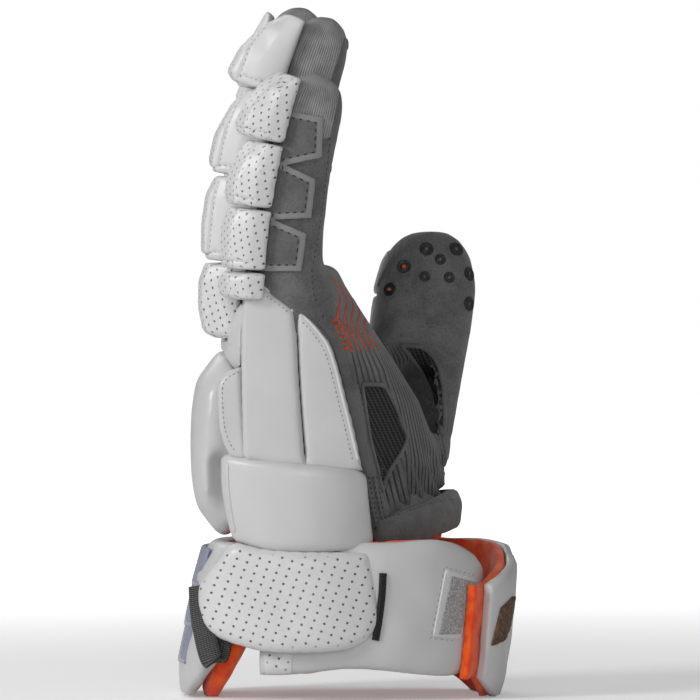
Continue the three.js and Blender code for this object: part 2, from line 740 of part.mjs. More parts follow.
// The same rows moved square to their way: outwards, or inwards where the shift is less than 0.
function offsetRows(rows, shift) {
  return rows.map((r, k) => {
    const before = rows[Math.max(0, k - 1)];
    const after = rows[Math.min(rows.length - 1, k + 1)];
    const way = new THREE.Vector2(after.x - before.x, after.y - before.y).setLength(shift);
    return { ...r, x: r.x + way.y, y: r.y - way.x };
  });
}

const cuffOptions = { across: 10, up: 4, rim: 0.5, crown: 3.5 };
const liningOptions = { across: 10, up: 2, rim: 0.6, crown: 4 };
layWall("cuff_back", "whiteLeather", cuffBackRows, cuffFoam, cuffOptions);
const backLining = 8;
const backLiningRows = offsetRows(cuffBackRows, -backLining);
layWall("cuff_back_lining", "orangeLining", backLiningRows, backLining - clearance, liningOptions);

// Three clear plates, one over the next, on the back of the cuff.
const plates = [
  { name: "cuff_plate_low", top: 0.52, bottom: 0.22, out: 0.6 },
  { name: "cuff_plate_middle", top: 0.78, bottom: 0.44, out: 2.8 },
  { name: "cuff_plate_high", top: 0.96, bottom: 0.7, out: 5 },
];
const plateHalf = 0.3; // of the hand's width, either side of the middle
for (const { name, top, bottom, out } of plates) {
  const centreRow = cuffBackRows[3];
  const slope = (share) => centreRow.x + centreRow.dx * (1 - (share * cuffHeight) / centreRow.top);
  const rows = [-1, -0.5, 0, 0.5, 1].map((t) => ({
    x: slope(top) - cuffFoam - out + 2 * t * t,
    y: -t * plateHalf * handWidth,
    top: top * cuffHeight,
    bottom: bottom * cuffHeight,
    dx: slope(bottom) - slope(top),
  }));
  layWall(name, "clearPlastic", rows, plateThickness, { across: 8, up: 2, rim: 0.8, crown: 6 });
}

// The two straps that close the cuff round the wrist. The near one tucks inside the far one.
const nearStrapRows = cuffRows([
  { x: -0.18, y: -0.5, top: 0.6, bottom: 0.165 },
  { x: 0.02, y: -0.54, top: 0.83, bottom: 0.168 },
  { x: 0.22, y: -0.55, top: 0.98, bottom: 0.2 },
  { x: 0.4, y: -0.54, top: 1, bottom: 0.19 },
  { x: 0.57, y: -0.49, top: 1.01, bottom: 0.16 },
  { x: 0.7, y: -0.41, top: 0.99, bottom: 0.15 },
  { x: 0.79, y: -0.3, top: 0.92, bottom: 0.2 },
  { x: 0.83, y: -0.18, top: 0.83, bottom: 0.23 },
]);
const farStrapRows = cuffRows([
  { x: 0.88, y: -0.36, top: 0.72, bottom: 0.13, dx: -0.04 },
  { x: 0.95, y: -0.28, top: 0.78, bottom: 0.04, dx: -0.06 },
  { x: 0.99, y: -0.12, top: 0.84, bottom: -0.02, dx: -0.08 },
  { x: 0.99, y: 0.05, top: 0.9, bottom: -0.02, dx: -0.08 },
  { x: 0.95, y: 0.25, top: 0.96, bottom: -0.02, dx: -0.07 },
  { x: 0.79, y: 0.47, top: 0.97, bottom: 0.09, dx: -0.03 },
  { x: 0.5, y: 0.56, top: 0.97, bottom: 0.18 },
  { x: 0.2, y: 0.57, top: 0.96, bottom: 0.22 },
  { x: -0.1, y: 0.54, top: 0.93, bottom: 0.26 },
]);
const strapOptions = { across: 12, up: 4, rim: 0.6, crown: 4 };
layWall("near_strap", "whiteLeather", nearStrapRows, strapFoam, strapOptions);
layWall("far_strap", "whiteLeather", farStrapRows, strapFoam, strapOptions);
const strapLiningOptions = { across: 12, up: 2, rim: 0.7, crown: 5 };
const nearLiningRows = offsetRows(nearStrapRows, -liningThickness);
layWall("near_strap_lining", "orangeLining", nearLiningRows, liningThickness - clearance, strapLiningOptions);

// The lining of the far strap is thicker and stands out beyond its end.
const endLining = 5;
const farLiningRows = offsetRows(farStrapRows, -endLining);
farLiningRows.unshift({ ...farLiningRows[0], x: 0.8 * handDepth, y: -0.43 * handWidth });
layWall("far_strap_lining", "orangeLining", farLiningRows, endLining - clearance, strapLiningOptions);

// Rolled hem along the bottom of the palm, with the lining that shows below it.
const hemRows = cuffRows([
  { x: 0.36, y: -0.4, top: 1.12, bottom: 0.93 },
  { x: 0.47, y: -0.32, top: 1.17, bottom: 0.955 },
  { x: 0.61, y: -0.13, top: 1.24, bottom: 1.01 },
  { x: 0.69, y: 0.06, top: 1.29, bottom: 1.04 },
  { x: 0.71, y: 0.23, top: 1.3, bottom: 1.05 },
  { x: 0.62, y: 0.39, top: 1.28, bottom: 1.06 },
  { x: 0.43, y: 0.46, top: 1.24, bottom: 1.04 },
  { x: 0.34, y: 0.47, top: 1.2, bottom: 1.02 },
]);
const hemOptions = { across: 14, up: 4, rim: 0.4, crown: 2 };
layWall("palm_hem", "greySuede", hemRows, hemThickness, hemOptions);
const palmLiningDrop = { inside: 6, top: 8, bottom: 5 }; // place of the lining beside the hem
const palmLiningRows = offsetRows(hemRows, -palmLiningDrop.inside).map((r) => ({
  ...r,
  top: r.top - palmLiningDrop.top,
  bottom: r.bottom - palmLiningDrop.bottom,
}));
layWall("palm_lining", "orangeLining", palmLiningRows, liningThickness, strapLiningOptions);

// Small flat pieces sewn on the outside of the straps.
const trimSink = 1.6; // depth of the trim's hidden face in the strap before the cut
const trimRise = 1.1; // height of the strap's crown that the trim follows
const onStrap = (rows) => offsetRows(cuffRows(rows), strapFoam - trimSink);
const trimOptions = { across: 4, up: 2, rim: 0.8, crown: 6 };
layWall(
  "strap_loop_patch",
  "loopTape",
  onStrap([
    { x: 0.66, y: -0.437, top: 0.79, bottom: 0.42 },
    { x: 0.72, y: -0.385, top: 0.78, bottom: 0.43 },
    { x: 0.775, y: -0.318, top: 0.74, bottom: 0.44 },
  ]),
  labelThickness + trimSink + trimRise,
  trimOptions,
);
layWall(
  "strap_label",
  "brownLeather",
  onStrap([
    { x: 0.935, y: -0.26, top: 0.62, bottom: 0.36, dx: -0.02 },
    { x: 0.962, y: -0.16, top: 0.66, bottom: 0.36, dx: -0.02 },
    { x: 0.972, y: -0.04, top: 0.68, bottom: 0.38, dx: -0.02 },
  ]),
  labelThickness + trimSink + trimRise,
  trimOptions,
);
layWall(
  "strap_edge_tape",
  "webbing",
  onStrap([
    { x: 0.395, y: -0.54, top: 0.83, bottom: 0.4 },
    { x: 0.43, y: -0.535, top: 0.84, bottom: 0.39 },
    { x: 0.46, y: -0.527, top: 0.83, bottom: 0.4 },
  ]),
  labelThickness + trimSink + trimRise,
  trimOptions,
);

// A flat ribbon along a line, with its width in a given direction.
function ribbon(line, across, thickness, grow) {
  const path = new THREE.CatmullRomCurve3(line);
  const half = 0.5 * webbingWidth + grow;
  const rings = [];
  const count = 10;
  for (let k = 0; k <= count; k++) {
    const along = path.getTangentAt(k / count);
    const centre = path.getPointAt(k / count);
    const wide = across.clone().addScaledVector(along, -across.dot(along)).normalize();
    const flat = along.clone().cross(wide);
    const end = k === 0 ? -grow : k === count ? grow : 0;
    const corner = (w, f) =>
      centre
        .clone()
        .addScaledVector(wide, w * half)
        .addScaledVector(flat, f * (0.5 * thickness + grow))
        .addScaledVector(along, end);
    rings.push([corner(-1, -1), corner(1, -1), corner(1, 1), corner(-1, 1)]);
  }
  return loft(rings);
}

// Webbing that comes out from under the flap and turns back up at its lower end.
const webbingLine = [
  { x: -0.5, y: -0.44, z: 0.72 },
  { x: -0.485, y: -0.48, z: 0.54 },
  { x: -0.445, y: -0.53, z: 0.34 },
  { x: -0.42, y: -0.53, z: 0.25 },
  { x: -0.39, y: -0.51, z: 0.28 },
  { x: -0.37, y: -0.49, z: 0.42 },
].map((r) => new THREE.Vector3(r.x * handDepth, r.y * handWidth, r.z * cuffHeight));
const webbingAcross = new THREE.Vector3(1, -0.4, 0.3);
lay("cuff_webbing", "webbing", (grow) => ribbon(webbingLine, webbingAcross, webbingThickness, grow));

// Notched patch on the outer side of the little finger.
const patchOutline = [
  { x: -0.091, z: 0.587 },
  { x: -0.038, z: 0.584 },
  { x: 0.108, z: 0.561 },
  { x: 0.1, z: 0.413 },
  { x: -0.064, z: 0.383 },
  { x: 0.072, z: 0.33 },
  { x: 0.051, z: 0.187 },
  { x: -0.122, z: 0.179 },
  { x: 0.029, z: 0.125 },
  { x: 0.005, z: -0.014 },
  { x: -0.211, z: -0.014 },
  { x: -0.22, z: 0.04 },
  { x: -0.21, z: 0.206 },
  { x: -0.172, z: 0.315 },
  { x: -0.134, z: 0.41 },
  { x: -0.11, z: 0.531 },
];
const [littleFinger] = fingers;
const patchPoints = patchOutline.map((r) => [r.x * handDepth, palmZ(1) + r.z * fingerLength]);
lay("little_finger_patch", "greySuede", (grow) =>
  fingerSolid(littleFinger, clearance + patchThickness + grow)
    .subtract(fingerGrown[0])
    .intersect(sidePrism(patchPoints, -0.9 * handWidth, -0.5 * handWidth, -grow)),
);

// The origin lies on the floor under the middle of the glove.
const glove = new THREE.Group();
glove.add(...placed);
const middle = new THREE.Box3().setFromObject(glove).getCenter(new THREE.Vector3());
for (const mesh of placed) mesh.geometry.translate(-middle.x, -middle.y, 0);
export default glove;
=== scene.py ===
import math

import bmesh
import bpy
from mathutils import Matrix, Vector, noise
from mathutils.bvhtree import BVHTree
from mathutils.geometry import delaunay_2d_cdt
from mathutils.kdtree import KDTree


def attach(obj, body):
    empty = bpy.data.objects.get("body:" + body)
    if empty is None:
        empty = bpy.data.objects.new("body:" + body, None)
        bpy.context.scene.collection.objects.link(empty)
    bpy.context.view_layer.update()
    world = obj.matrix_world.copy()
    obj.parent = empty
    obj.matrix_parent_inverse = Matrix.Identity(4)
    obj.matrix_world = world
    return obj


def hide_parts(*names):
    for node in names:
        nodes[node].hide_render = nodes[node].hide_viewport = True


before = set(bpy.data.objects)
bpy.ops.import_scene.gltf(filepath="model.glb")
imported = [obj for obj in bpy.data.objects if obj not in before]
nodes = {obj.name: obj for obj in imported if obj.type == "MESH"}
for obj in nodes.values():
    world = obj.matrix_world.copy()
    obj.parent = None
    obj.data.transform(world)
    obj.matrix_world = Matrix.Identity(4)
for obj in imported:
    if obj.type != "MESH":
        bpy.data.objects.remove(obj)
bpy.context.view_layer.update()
mm = 0.001
sightLine = 0.25  # metres: a ray this long starts outside the glove and crosses it
print("frame loaded:", len(nodes), "CAD nodes")

# The glove's sizes in millimetres and the place of the floor's middle in the drawing
glove = {
    "cuffHeight": 75, "palmLength": 130, "fingerLength": 126, "handWidth": 100, "handDepth": 100,
    "middleX": 23.1, "middleY": 5.25,
}
# The side view: millimetres in one step of the drawing grid, its left line and its floor line
sideView = {"step": 0.477, "left": 300, "floor": 697}


def palmZ(share):
    return glove["cuffHeight"] + share * glove["palmLength"]


# A place in the side view as x and z in metres
def seen(across, down):
    x = (across - sideView["left"]) * sideView["step"] - glove["middleX"]
    return x * mm, (sideView["floor"] - down) * sideView["step"] * mm


def seenLine(*places):
    return [seen(*place) for place in places]


def choose(piece):
    if bpy.context.object and bpy.context.object.mode != "OBJECT":
        bpy.ops.object.mode_set(mode="OBJECT")
    bpy.ops.object.select_all(action="DESELECT")
    piece.hide_set(False)
    piece.select_set(True)
    bpy.context.view_layer.objects.active = piece


def applied(piece, kind, **settings):
    choose(piece)
    modifier = piece.modifiers.new(kind.title(), kind)
    for key, value in settings.items():
        setattr(modifier, key, value)
    bpy.ops.object.modifier_apply(modifier=modifier.name)
    return piece


def newPiece(name, points, faces):
    mesh = bpy.data.meshes.new(name)
    mesh.from_pydata([tuple(p) for p in points], [], faces)
    mesh.validate()
    bm = bmesh.new()
    bm.from_mesh(mesh)
    bmesh.ops.recalc_face_normals(bm, faces=bm.faces)
    bm.to_mesh(mesh)
    bm.free()
    piece = bpy.data.objects.new(name, mesh)
    bpy.context.scene.collection.objects.link(piece)
    return piece


def fromBmesh(name, bm):
    mesh = bpy.data.meshes.new(name)
    bm.to_mesh(mesh)
    bm.free()
    piece = bpy.data.objects.new(name, mesh)
    bpy.context.scene.collection.objects.link(piece)
    return piece


# A welded copy of a CAD node
def cadCopy(name, source):
    bm = bmesh.new()
    bm.from_mesh(nodes[source].data)
    bmesh.ops.remove_doubles(bm, verts=bm.verts, dist=1e-5)
    return fromBmesh(name, bm)


# A search tree of the piece's surface
def shapeTree(piece):
    bm = bmesh.new()
    bm.from_mesh(piece.data)
    tree = BVHTree.FromBMesh(bm)
    bm.free()
    return tree


def remeshed(piece, size, smoothing):
    applied(piece, "REMESH", mode="VOXEL", voxel_size=size * mm)
    if smoothing:
        applied(piece, "SMOOTH", factor=0.5, iterations=smoothing)
    return piece


# Moves each point along its normal by amount(point, normal), in metres
def pushed(piece, amount):
    mesh = piece.data
    normals = [v.normal.copy() for v in mesh.vertices]
    for v, n in zip(mesh.vertices, normals):
        v.co += n * amount(v.co, n)
    mesh.update()
    return piece


# Soft unevenness of leather over foam: size and depth in millimetres
def rippled(piece, size, depth, seed=0.0):
    shift = Vector((seed, seed * 1.7, seed * 0.6))
    return pushed(piece, lambda p, n: depth * mm * noise.noise(p / (size * mm) + shift))


# Points along a line at an even step
def spaced(points, step):
    out = [points[0].copy()]
    left = step
    for a, b in zip(points, points[1:]):
        long = (b - a).length
        at = left
        while at <= long:
            out.append(a.lerp(b, at / long))
            at += step
        left = at - long
    return out


# Sewn grooves: each line is a list of points in metres
def creased(piece, lines, width, depth):
    tree = shapeTree(piece)
    marks = []
    for line in lines:
        for p in spaced(line, 0.5 * mm):
            near = tree.find_nearest(p)[0]
            marks.append(near if near else p)
    kd = KDTree(len(marks))
    for k, p in enumerate(marks):
        kd.insert(p, k)
    kd.balance()
    wide = width * mm

    def amount(p, n):
        away = kd.find(p)[2] / wide
        return -depth * mm * (1 - away * away) ** 2 if away < 1 else 0.0

    return pushed(piece, amount)


# Millimetres over the surface, for perforations, ribs and weaves
def surfaceMap(piece, place):
    layer = piece.data.attributes.new("surfaceMm", "FLOAT_VECTOR", "POINT")
    flat = []
    for v in piece.data.vertices:
        flat.extend(place(v.co, v.normal))
    layer.data.foreach_set("vector", flat)
    return piece


# The last step of every piece; nothing of it goes below the floor
def finished(piece, material, stands=()):
    for v in piece.data.vertices:
        v.co.z = max(v.co.z, 0.0)
    for polygon in piece.data.polygons:
        polygon.use_smooth = True
    piece.data.materials.append(material)
    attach(piece, "root")
    if stands:
        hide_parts(*stands)
    return piece


# A row at a share along a list of rows, on a smooth curve through them
def smoothRow(rows, share):
    last = len(rows) - 1
    place = min(max(share, 0.0), 1.0) * last
    start = min(int(place), last - 1)
    f = place - start
    near = [rows[min(max(start + k, 0), last)] for k in (-1, 0, 1, 2)]
    return [
        q + 0.5 * f * ((r - p) + f * ((2 * p - 5 * q + 4 * r - s) + f * (3 * q - p - 3 * r + s)))
        for p, q, r, s in zip(*near)
    ]


# Rows of x, y, top, bottom, dx, dy as shares, turned to metres in the frame
def drawnRows(rows, level):
    out = []
    for row in rows:
        x, y, top, bottom, dx, dy = (list(row) + [0, 0])[:6]
        out.append([
            (x * glove["handDepth"] - glove["middleX"]) * mm,
            (y * glove["handWidth"] - glove["middleY"]) * mm,
            level(top) * mm,
            level(bottom) * mm,
            dx * glove["handDepth"] * mm,
            dy * glove["handWidth"] * mm,
        ])
    return out


def cuffZ(share):
    return share * glove["cuffHeight"]


# Rows moved square to their way, outwards, in metres
def offsetRows(rows, shift):
    out = []
    for k, row in enumerate(rows):
        before, after = rows[max(0, k - 1)], rows[min(len(rows) - 1, k + 1)]
        way = Vector((after[0] - before[0], after[1] - before[1])).normalized() * shift
        out.append([row[0] + way.y, row[1] - way.x, *row[2:]])
    return out


# A point of a wall at shares along and up it, with its normal
def wallPoint(rows, u, v):
    def inner(a, b):
        x, y, top, bottom, dx, dy = smoothRow(rows, a)
        return Vector((x + (1 - b) * dx, y + (1 - b) * dy, bottom + b * (top - bottom)))

    step = 1e-3
    way = inner(min(u + step, 1), v) - inner(max(u - step, 0), v)
    climb = inner(u, min(v + step, 1)) - inner(u, max(v - step, 0))
    normal = way.cross(climb).normalized()
    return inner(u, v), normal


# A padded wall from its rows: an inner face, a crowned outer face and a rim between them
def wallPiece(name, rows, thickness, across, up, rim, crown):
    deep = thickness * mm
    rimSteps = 3
    points, faces, key = [], [], {}

    def fullness(u, v):
        edge = max(abs(2 * u - 1) ** (crown * 2), abs(2 * v - 1) ** crown)
        return rim + (1 - rim) * math.sqrt(max(0.0, 1 - edge))

    def point(i, j, k):
        if (i, j, k) not in key:
            u, v = i / across, j / up
            p, n = wallPoint(rows, u, v)
            q = p + n * (deep * fullness(u, v) * k / rimSteps)
            q.z = max(q.z, 0.0)
            key[i, j, k] = len(points)
            points.append(q)
        return key[i, j, k]

    def quad(*corners):
        faces.append(tuple(point(*c) for c in corners))

    for i in range(across):
        for j in range(up):
            quad((i, j, 0), (i, j + 1, 0), (i + 1, j + 1, 0), (i + 1, j, 0))
            quad((i, j, rimSteps), (i + 1, j, rimSteps), (i + 1, j + 1, rimSteps), (i, j + 1, rimSteps))
        for k in range(rimSteps):
            quad((i, 0, k), (i + 1, 0, k), (i + 1, 0, k + 1), (i, 0, k + 1))
            quad((i, up, k), (i, up, k + 1), (i + 1, up, k + 1), (i + 1, up, k))
    for j in range(up):
        for k in range(rimSteps):
            quad((0, j, k), (0, j, k + 1), (0, j + 1, k + 1), (0, j + 1, k))
            quad((across, j, k), (across, j + 1, k), (across, j + 1, k + 1), (across, j, k + 1))
    return newPiece(name, points, faces)


# sRGB hex to linear
def colour(code):
    parts = [int(code[k:k + 2], 16) / 255 for k in (1, 3, 5)]
    return (*[c / 12.92 if c <= 0.04045 else ((c + 0.055) / 1.055) ** 2.4 for c in parts], 1.0)


def addNode(tree, kind, links=None, **settings):
    node = tree.nodes.new(kind)
    for key, value in settings.items():
        setattr(node, key, value)
    for key, value in (links or {}).items():
        if isinstance(value, bpy.types.NodeSocket):
            tree.links.new(value, node.inputs[key])
        else:
            node.inputs[key].default_value = value
    return node


def newMaterial(name, **sockets):
    material = bpy.data.materials.new(name)
    material.use_nodes = True
    tree = material.node_tree
    shader = tree.nodes["Principled BSDF"]
    for key, value in sockets.items():
        shader.inputs[key.replace("_", " ")].default_value = value
    return material, tree, shader


# Cloudy patterns on the piece's own places: each is a size in millimetres, its detail and its roughness
def clouds(tree, *sizes):
    place = addNode(tree, "ShaderNodeTexCoord").outputs["Object"]
    out = []
    for size, detail, roughness in sizes:
        links = {"Vector": place, "Scale": 1 / (size * mm), "Detail": detail, "Roughness": roughness}
        out.append(addNode(tree, "ShaderNodeTexNoise", links).outputs["Fac"])
    return out


# A colour that goes from dark to light as a pattern goes from low to high
def toned(tree, pattern, dark, light, low, high, bend="SMOOTHSTEP"):
    links = {"Value": pattern, "From Min": low, "From Max": high}
    share = addNode(tree, "ShaderNodeMapRange", links, interpolation_type=bend).outputs[0]
    links = {0: share, 6: colour(dark), 7: colour(light)}
    return addNode(tree, "ShaderNodeMix", links, data_type="RGBA").outputs[2]


# Relief in layers of (height, strength, depth in millimetres)
def bumped(tree, shader, *layers):
    normal = None
    for height, strength, depth in layers:
        links = {"Height": height, "Strength": strength, "Distance": depth * mm}
        if normal:
            links["Normal"] = normal
        normal = addNode(tree, "ShaderNodeBump", links).outputs[0]
    tree.links.new(normal, shader.inputs["Normal"])


# The piece's surface map: its place as a whole, and its three values
def surfaceParts(tree):
    place = addNode(tree, "ShaderNodeAttribute", attribute_name="surfaceMm").outputs["Vector"]
    return place, addNode(tree, "ShaderNodeSeparateXYZ", {0: place}).outputs


# 1 inside each punched hole of a turned grid: pitch, row spacing and hole in millimetres, turn in degrees
def punchedHoles(tree, pitch, rows, hole, turn):
    place, parts = surfaceParts(tree)
    links = {"Vector": place, "Angle": math.radians(turn)}
    turned = addNode(tree, "ShaderNodeVectorRotate", links, rotation_type="Z_AXIS").outputs[0]
    near = []
    for part, step in zip(addNode(tree, "ShaderNodeSeparateXYZ", {0: turned}).outputs[:2], (pitch, rows)):
        moved = addNode(tree, "ShaderNodeMath", {0: part, 1: 40 * step}, operation="ADD").outputs[0]
        links = {0: moved, 1: 0.5 * step}
        near.append(addNode(tree, "ShaderNodeMath", links, operation="PINGPONG").outputs[0])
    spot = addNode(tree, "ShaderNodeCombineXYZ", {0: near[0], 1: near[1]}).outputs[0]
    away = addNode(tree, "ShaderNodeVectorMath", {0: spot}, operation="LENGTH").outputs["Value"]
    links = {"Value": away, "From Min": 0.375 * hole, "From Max": 0.6 * hole, "To Min": 1.0, "To Max": 0.0}
    inside = addNode(tree, "ShaderNodeMapRange", links, interpolation_type="SMOOTHSTEP").outputs[0]
    return addNode(tree, "ShaderNodeMath", {0: inside, 1: parts[2]}, operation="MULTIPLY").outputs[0]


# Polyurethane-coated leather, embossed and moulded over foam: even light grey, satin sheen, faint grain;
# punched holes get painted shade, dark grey
def coatedLeather(name, dark, light, roughness, holes=None):
    material, tree, shader = newMaterial(
        name, Roughness=roughness, IOR=1.48, Coat_Weight=0.25, Coat_Roughness=0.22,
    )
    cloud, dimple, rub = clouds(tree, (30, 2, 0.55), (12, 2, 0.55), (5, 3, 0.55))
    links = {"Vector": addNode(tree, "ShaderNodeTexCoord").outputs["Object"], "Scale": 1 / (1.1 * mm)}
    grain = addNode(tree, "ShaderNodeTexVoronoi", links).outputs["Distance"]
    base = toned(tree, cloud, dark, light, 0.2, 0.8)
    relief = [(dimple, 0.12, 0.3), (grain, 0.14, 0.2)]
    if holes:
        hole = punchedHoles(tree, *holes)
        # Painted shade: each punched hole is coloured dark grey
        links = {0: hole, 6: base, 7: colour("#565656")}
        base = addNode(tree, "ShaderNodeMix", links, data_type="RGBA").outputs[2]
        whole = addNode(tree, "ShaderNodeMath", {0: 1.0, 1: hole}, operation="SUBTRACT").outputs[0]
        relief.append((whole, 0.8, 0.6))
    links = {
        "Value": rub, "From Min": 0.3, "From Max": 0.7,
        "To Min": roughness - 0.05, "To Max": roughness + 0.07,
    }
    worn = addNode(tree, "ShaderNodeMapRange", links, interpolation_type="SMOOTHSTEP").outputs[0]
    tree.links.new(base, shader.inputs["Base Color"])
    tree.links.new(worn, shader.inputs["Roughness"])
    bumped(tree, shader, *relief)
    return material


# Microfibre suede, sueded nap: matt, mottled by the way the nap lies, with a pale sheen at grazing angles
def suede(name, dark, light, border=None):
    material, tree, shader = newMaterial(name, Roughness=0.95, Sheen_Weight=0.25, Sheen_Roughness=0.6)
    patchy, fine, nap = clouds(tree, (14, 4, 0.6), (0.9, 2, 0.55), (1.4, 3, 0.55))
    mixed = addNode(tree, "ShaderNodeMix", {0: 0.4, 2: patchy, 3: fine}).outputs[0]
    base = toned(tree, mixed, dark, light, 0.32, 0.68)
    if border:  # a paler band round the edge, in millimetres from it
        links = {"Value": surfaceParts(tree)[1][2], "From Min": 2.2, "From Max": 3.4}
        inside = addNode(tree, "ShaderNodeMapRange", links, interpolation_type="SMOOTHSTEP").outputs[0]
        links = {0: inside, 6: colour(border), 7: base}
        base = addNode(tree, "ShaderNodeMix", links, data_type="RGBA").outputs[2]
    tree.links.new(base, shader.inputs["Base Color"])
    bumped(tree, shader, (nap, 0.5, 0.35))
    return material


# Microfibre suede sewn to rib knit: the knit cords show on the fingers, ribs are pressed into the palm; their
# grooves get painted shade
def sewnSuede(name, dark, light, cordSpacing, ribsAcross):
    material = suede(name, dark, light)
    tree = material.node_tree
    shader = tree.nodes["Principled BSDF"]
    base, nap = [shader.inputs[key].links[0].from_socket for key in ("Base Color", "Normal")]
    around = surfaceParts(tree)[1][0]
    knitted = addNode(tree, "ShaderNodeAttribute", attribute_name="knit").outputs["Fac"]
    links = {"Value": knitted, "From Min": 0.44, "From Max": 0.56}
    knit = addNode(tree, "ShaderNodeMapRange", links, interpolation_type="SMOOTHSTEP").outputs[0]
    ribs = addNode(tree, "ShaderNodeAttribute", attribute_name="palmRibs").outputs["Fac"]
    links = {0: around, 1: 2 * math.pi / cordSpacing}
    turns = addNode(tree, "ShaderNodeMath", links, operation="MULTIPLY").outputs[0]
    cord = addNode(tree, "ShaderNodeMath", {0: turns}, operation="SINE").outputs[0]
    links = {0: cord, 1: 0.2, 2: clouds(tree, (9, 3, 0.55))[0]}
    tone = addNode(tree, "ShaderNodeMath", links, operation="MULTIPLY_ADD").outputs[0]
    yarn = toned(tree, tone, "#747474", "#A6A6A6", 0.2, 0.85)
    across = addNode(tree, "ShaderNodeMath", {0: around, 1: ribsAcross}, operation="MULTIPLY").outputs[0]
    line = addNode(tree, "ShaderNodeMath", {0: across, 1: 0.5}, operation="PINGPONG").outputs[0]
    links = {"Value": line, "From Min": 0.1, "From Max": 0.24, "To Min": 1.0, "To Max": 0.0}
    furrow = addNode(tree, "ShaderNodeMapRange", links, interpolation_type="SMOOTHSTEP").outputs[0]
    groove = addNode(tree, "ShaderNodeMath", {0: furrow, 1: ribs}, operation="MULTIPLY").outputs[0]
    # Painted shade: the palm's pressed grooves are coloured near black, and the knit takes its yarn colour
    for factor, other in ((groove, colour("#262626")), (knit, yarn)):
        base = addNode(tree, "ShaderNodeMix", {0: factor, 6: base, 7: other}, data_type="RGBA").outputs[2]
    tree.links.new(base, shader.inputs["Base Color"])
    soft = addNode(tree, "ShaderNodeMath", {0: cord, 1: 0.3}, operation="MULTIPLY").outputs[0]
    raised = addNode(tree, "ShaderNodeMath", {0: soft, 1: knit}, operation="MULTIPLY").outputs[0]
    height = addNode(tree, "ShaderNodeMath", {0: raised, 1: groove}, operation="SUBTRACT").outputs[0]
    links = {"Height": height, "Strength": 0.7, "Distance": 0.8 * mm, "Normal": nap}
    tree.links.new(addNode(tree, "ShaderNodeBump", links).outputs[0], shader.inputs["Normal"])
    return material


# Two sets of bars that cross, each (the way it runs, its spacing in millimetres, its weight), for cloth
def woven(name, dark, light, low, high, roughness, bars, join, relief):
    material, tree, shader = newMaterial(name, Roughness=roughness)
    place = surfaceParts(tree)[0]
    waves = []
    for way, spacing, weight in bars:
        links = {0: place, 1: [part * 2 * math.pi / spacing for part in way]}
        turns = addNode(tree, "ShaderNodeVectorMath", links, operation="DOT_PRODUCT").outputs["Value"]
        wave = addNode(tree, "ShaderNodeMath", {0: turns}, operation="SINE").outputs[0]
        links = {0: wave, 1: weight}
        waves.append(addNode(tree, "ShaderNodeMath", links, operation="MULTIPLY").outputs[0])
    height = addNode(tree, "ShaderNodeMath", {0: waves[0], 1: waves[1]}, operation=join).outputs[0]
    tree.links.new(toned(tree, height, dark, light, low, high), shader.inputs["Base Color"])
    bumped(tree, shader, (height, *relief))
    return material


# A plain finish: tone is (size, detail, roughness, low, high), relief rows are the same pattern or
# (size, detail, roughness), with strength and depth; sizes in millimetres
def cloudyFinish(name, dark, light, tone, relief, bend="SMOOTHSTEP", **sockets):
    material, tree, shader = newMaterial(name, **sockets)
    pattern = clouds(tree, tone[:3])[0]
    tree.links.new(toned(tree, pattern, dark, light, *tone[3:], bend), shader.inputs["Base Color"])
    bumped(tree, shader, *[(clouds(tree, row[:3])[0], *row[3:]) for row in relief])
    return material


whiteLeather = coatedLeather("coatedLeatherEmbossed", "#C8C8C8", "#CFCFCF", 0.38)
paleLeather = coatedLeather("coatedLeatherTrim", "#CFCFCF", "#D8D8D8", 0.45)
punching = (4.7, 3.8, 1.05, 20)  # pitch, row spacing and hole in millimetres, then the turn in degrees
punchedLeather = coatedLeather("coatedLeatherPunched", "#D4D4D4", "#DBDBDB", 0.46, holes=punching)
greySuede = suede("microfibreSuede", "#555555", "#787878")
bindingSuede = suede("microfibreSuedeBinding", "#525252", "#6C6C6C")
patchSuede = suede("microfibreSuedePatch", "#585858", "#707070", border="#8C8C8C")
handSuede = sewnSuede("microfibreSuedeSewnToRibKnit", "#4E4E4E", "#707070", cordSpacing=1.05, ribsAcross=13)
# Warp-knitted mesh: dark slanting bars with small openings between them
windowMesh = woven(
    "warpKnitMesh", "#141414", "#474747", -0.2, 1.0, 0.85,
    [((0.9, 0.42, 0), 1.9, 1), ((0, 1, 0), 1.25, 0.55)], "MAXIMUM", (0.9, 0.5),
)
# Brushed nylon tricot, dyed orange: soft pile, darker and lighter in soft random patches
orangeTricot = cloudyFinish(
    "brushedTricotOrange", "#F04000", "#FF6410", (7, 3, 0.55, 0.3, 0.62),
    [(1.2, 3, 0.55, 0.35, 0.3), (10, 2, 0.55, 0.3, 0.6)], Roughness=0.85, Sheen_Weight=0.3,
)
# Woven polypropylene webbing: close cross ribs with a slight shine
tapeBars = [((0, 1, 0), 0.95, 1), ((1, 0, 0), 1.6, 0.4)]
cuffTape = woven("polypropyleneWebbing", "#343434", "#6E6E6E", -1.2, 1.3, 0.6, tapeBars, "ADD", (0.8, 0.4))
# Woven elastic: the same ribs, near black
elasticTape = woven("elasticTapeBlack", "#151515", "#3C3C3C", -1.2, 1.3, 0.6, tapeBars, "ADD", (0.8, 0.4))
# Calendered clear PVC sheet: bluish, see-through at its faces and dense along its edges
clearPvc = cloudyFinish(
    "calenderedPvc", "#9298B8", "#BCC2DA", (18, 2, 0.55, 0, 1), [(6, 2, 0.55, 0.15, 0.3)], "LINEAR",
    Roughness=0.22, IOR=1.53, Transmission_Weight=0.35, Coat_Weight=0.2,
)
# Vegetable-tanned leather, rubbed brown: matt, with darker pores
brownLeather = cloudyFinish(
    "tannedLeatherBrown", "#453223", "#7C5F46", (1.6, 4, 0.7, 0.35, 0.68), [(1.6, 4, 0.7, 0.6, 0.4)],
    Roughness=0.72,
)
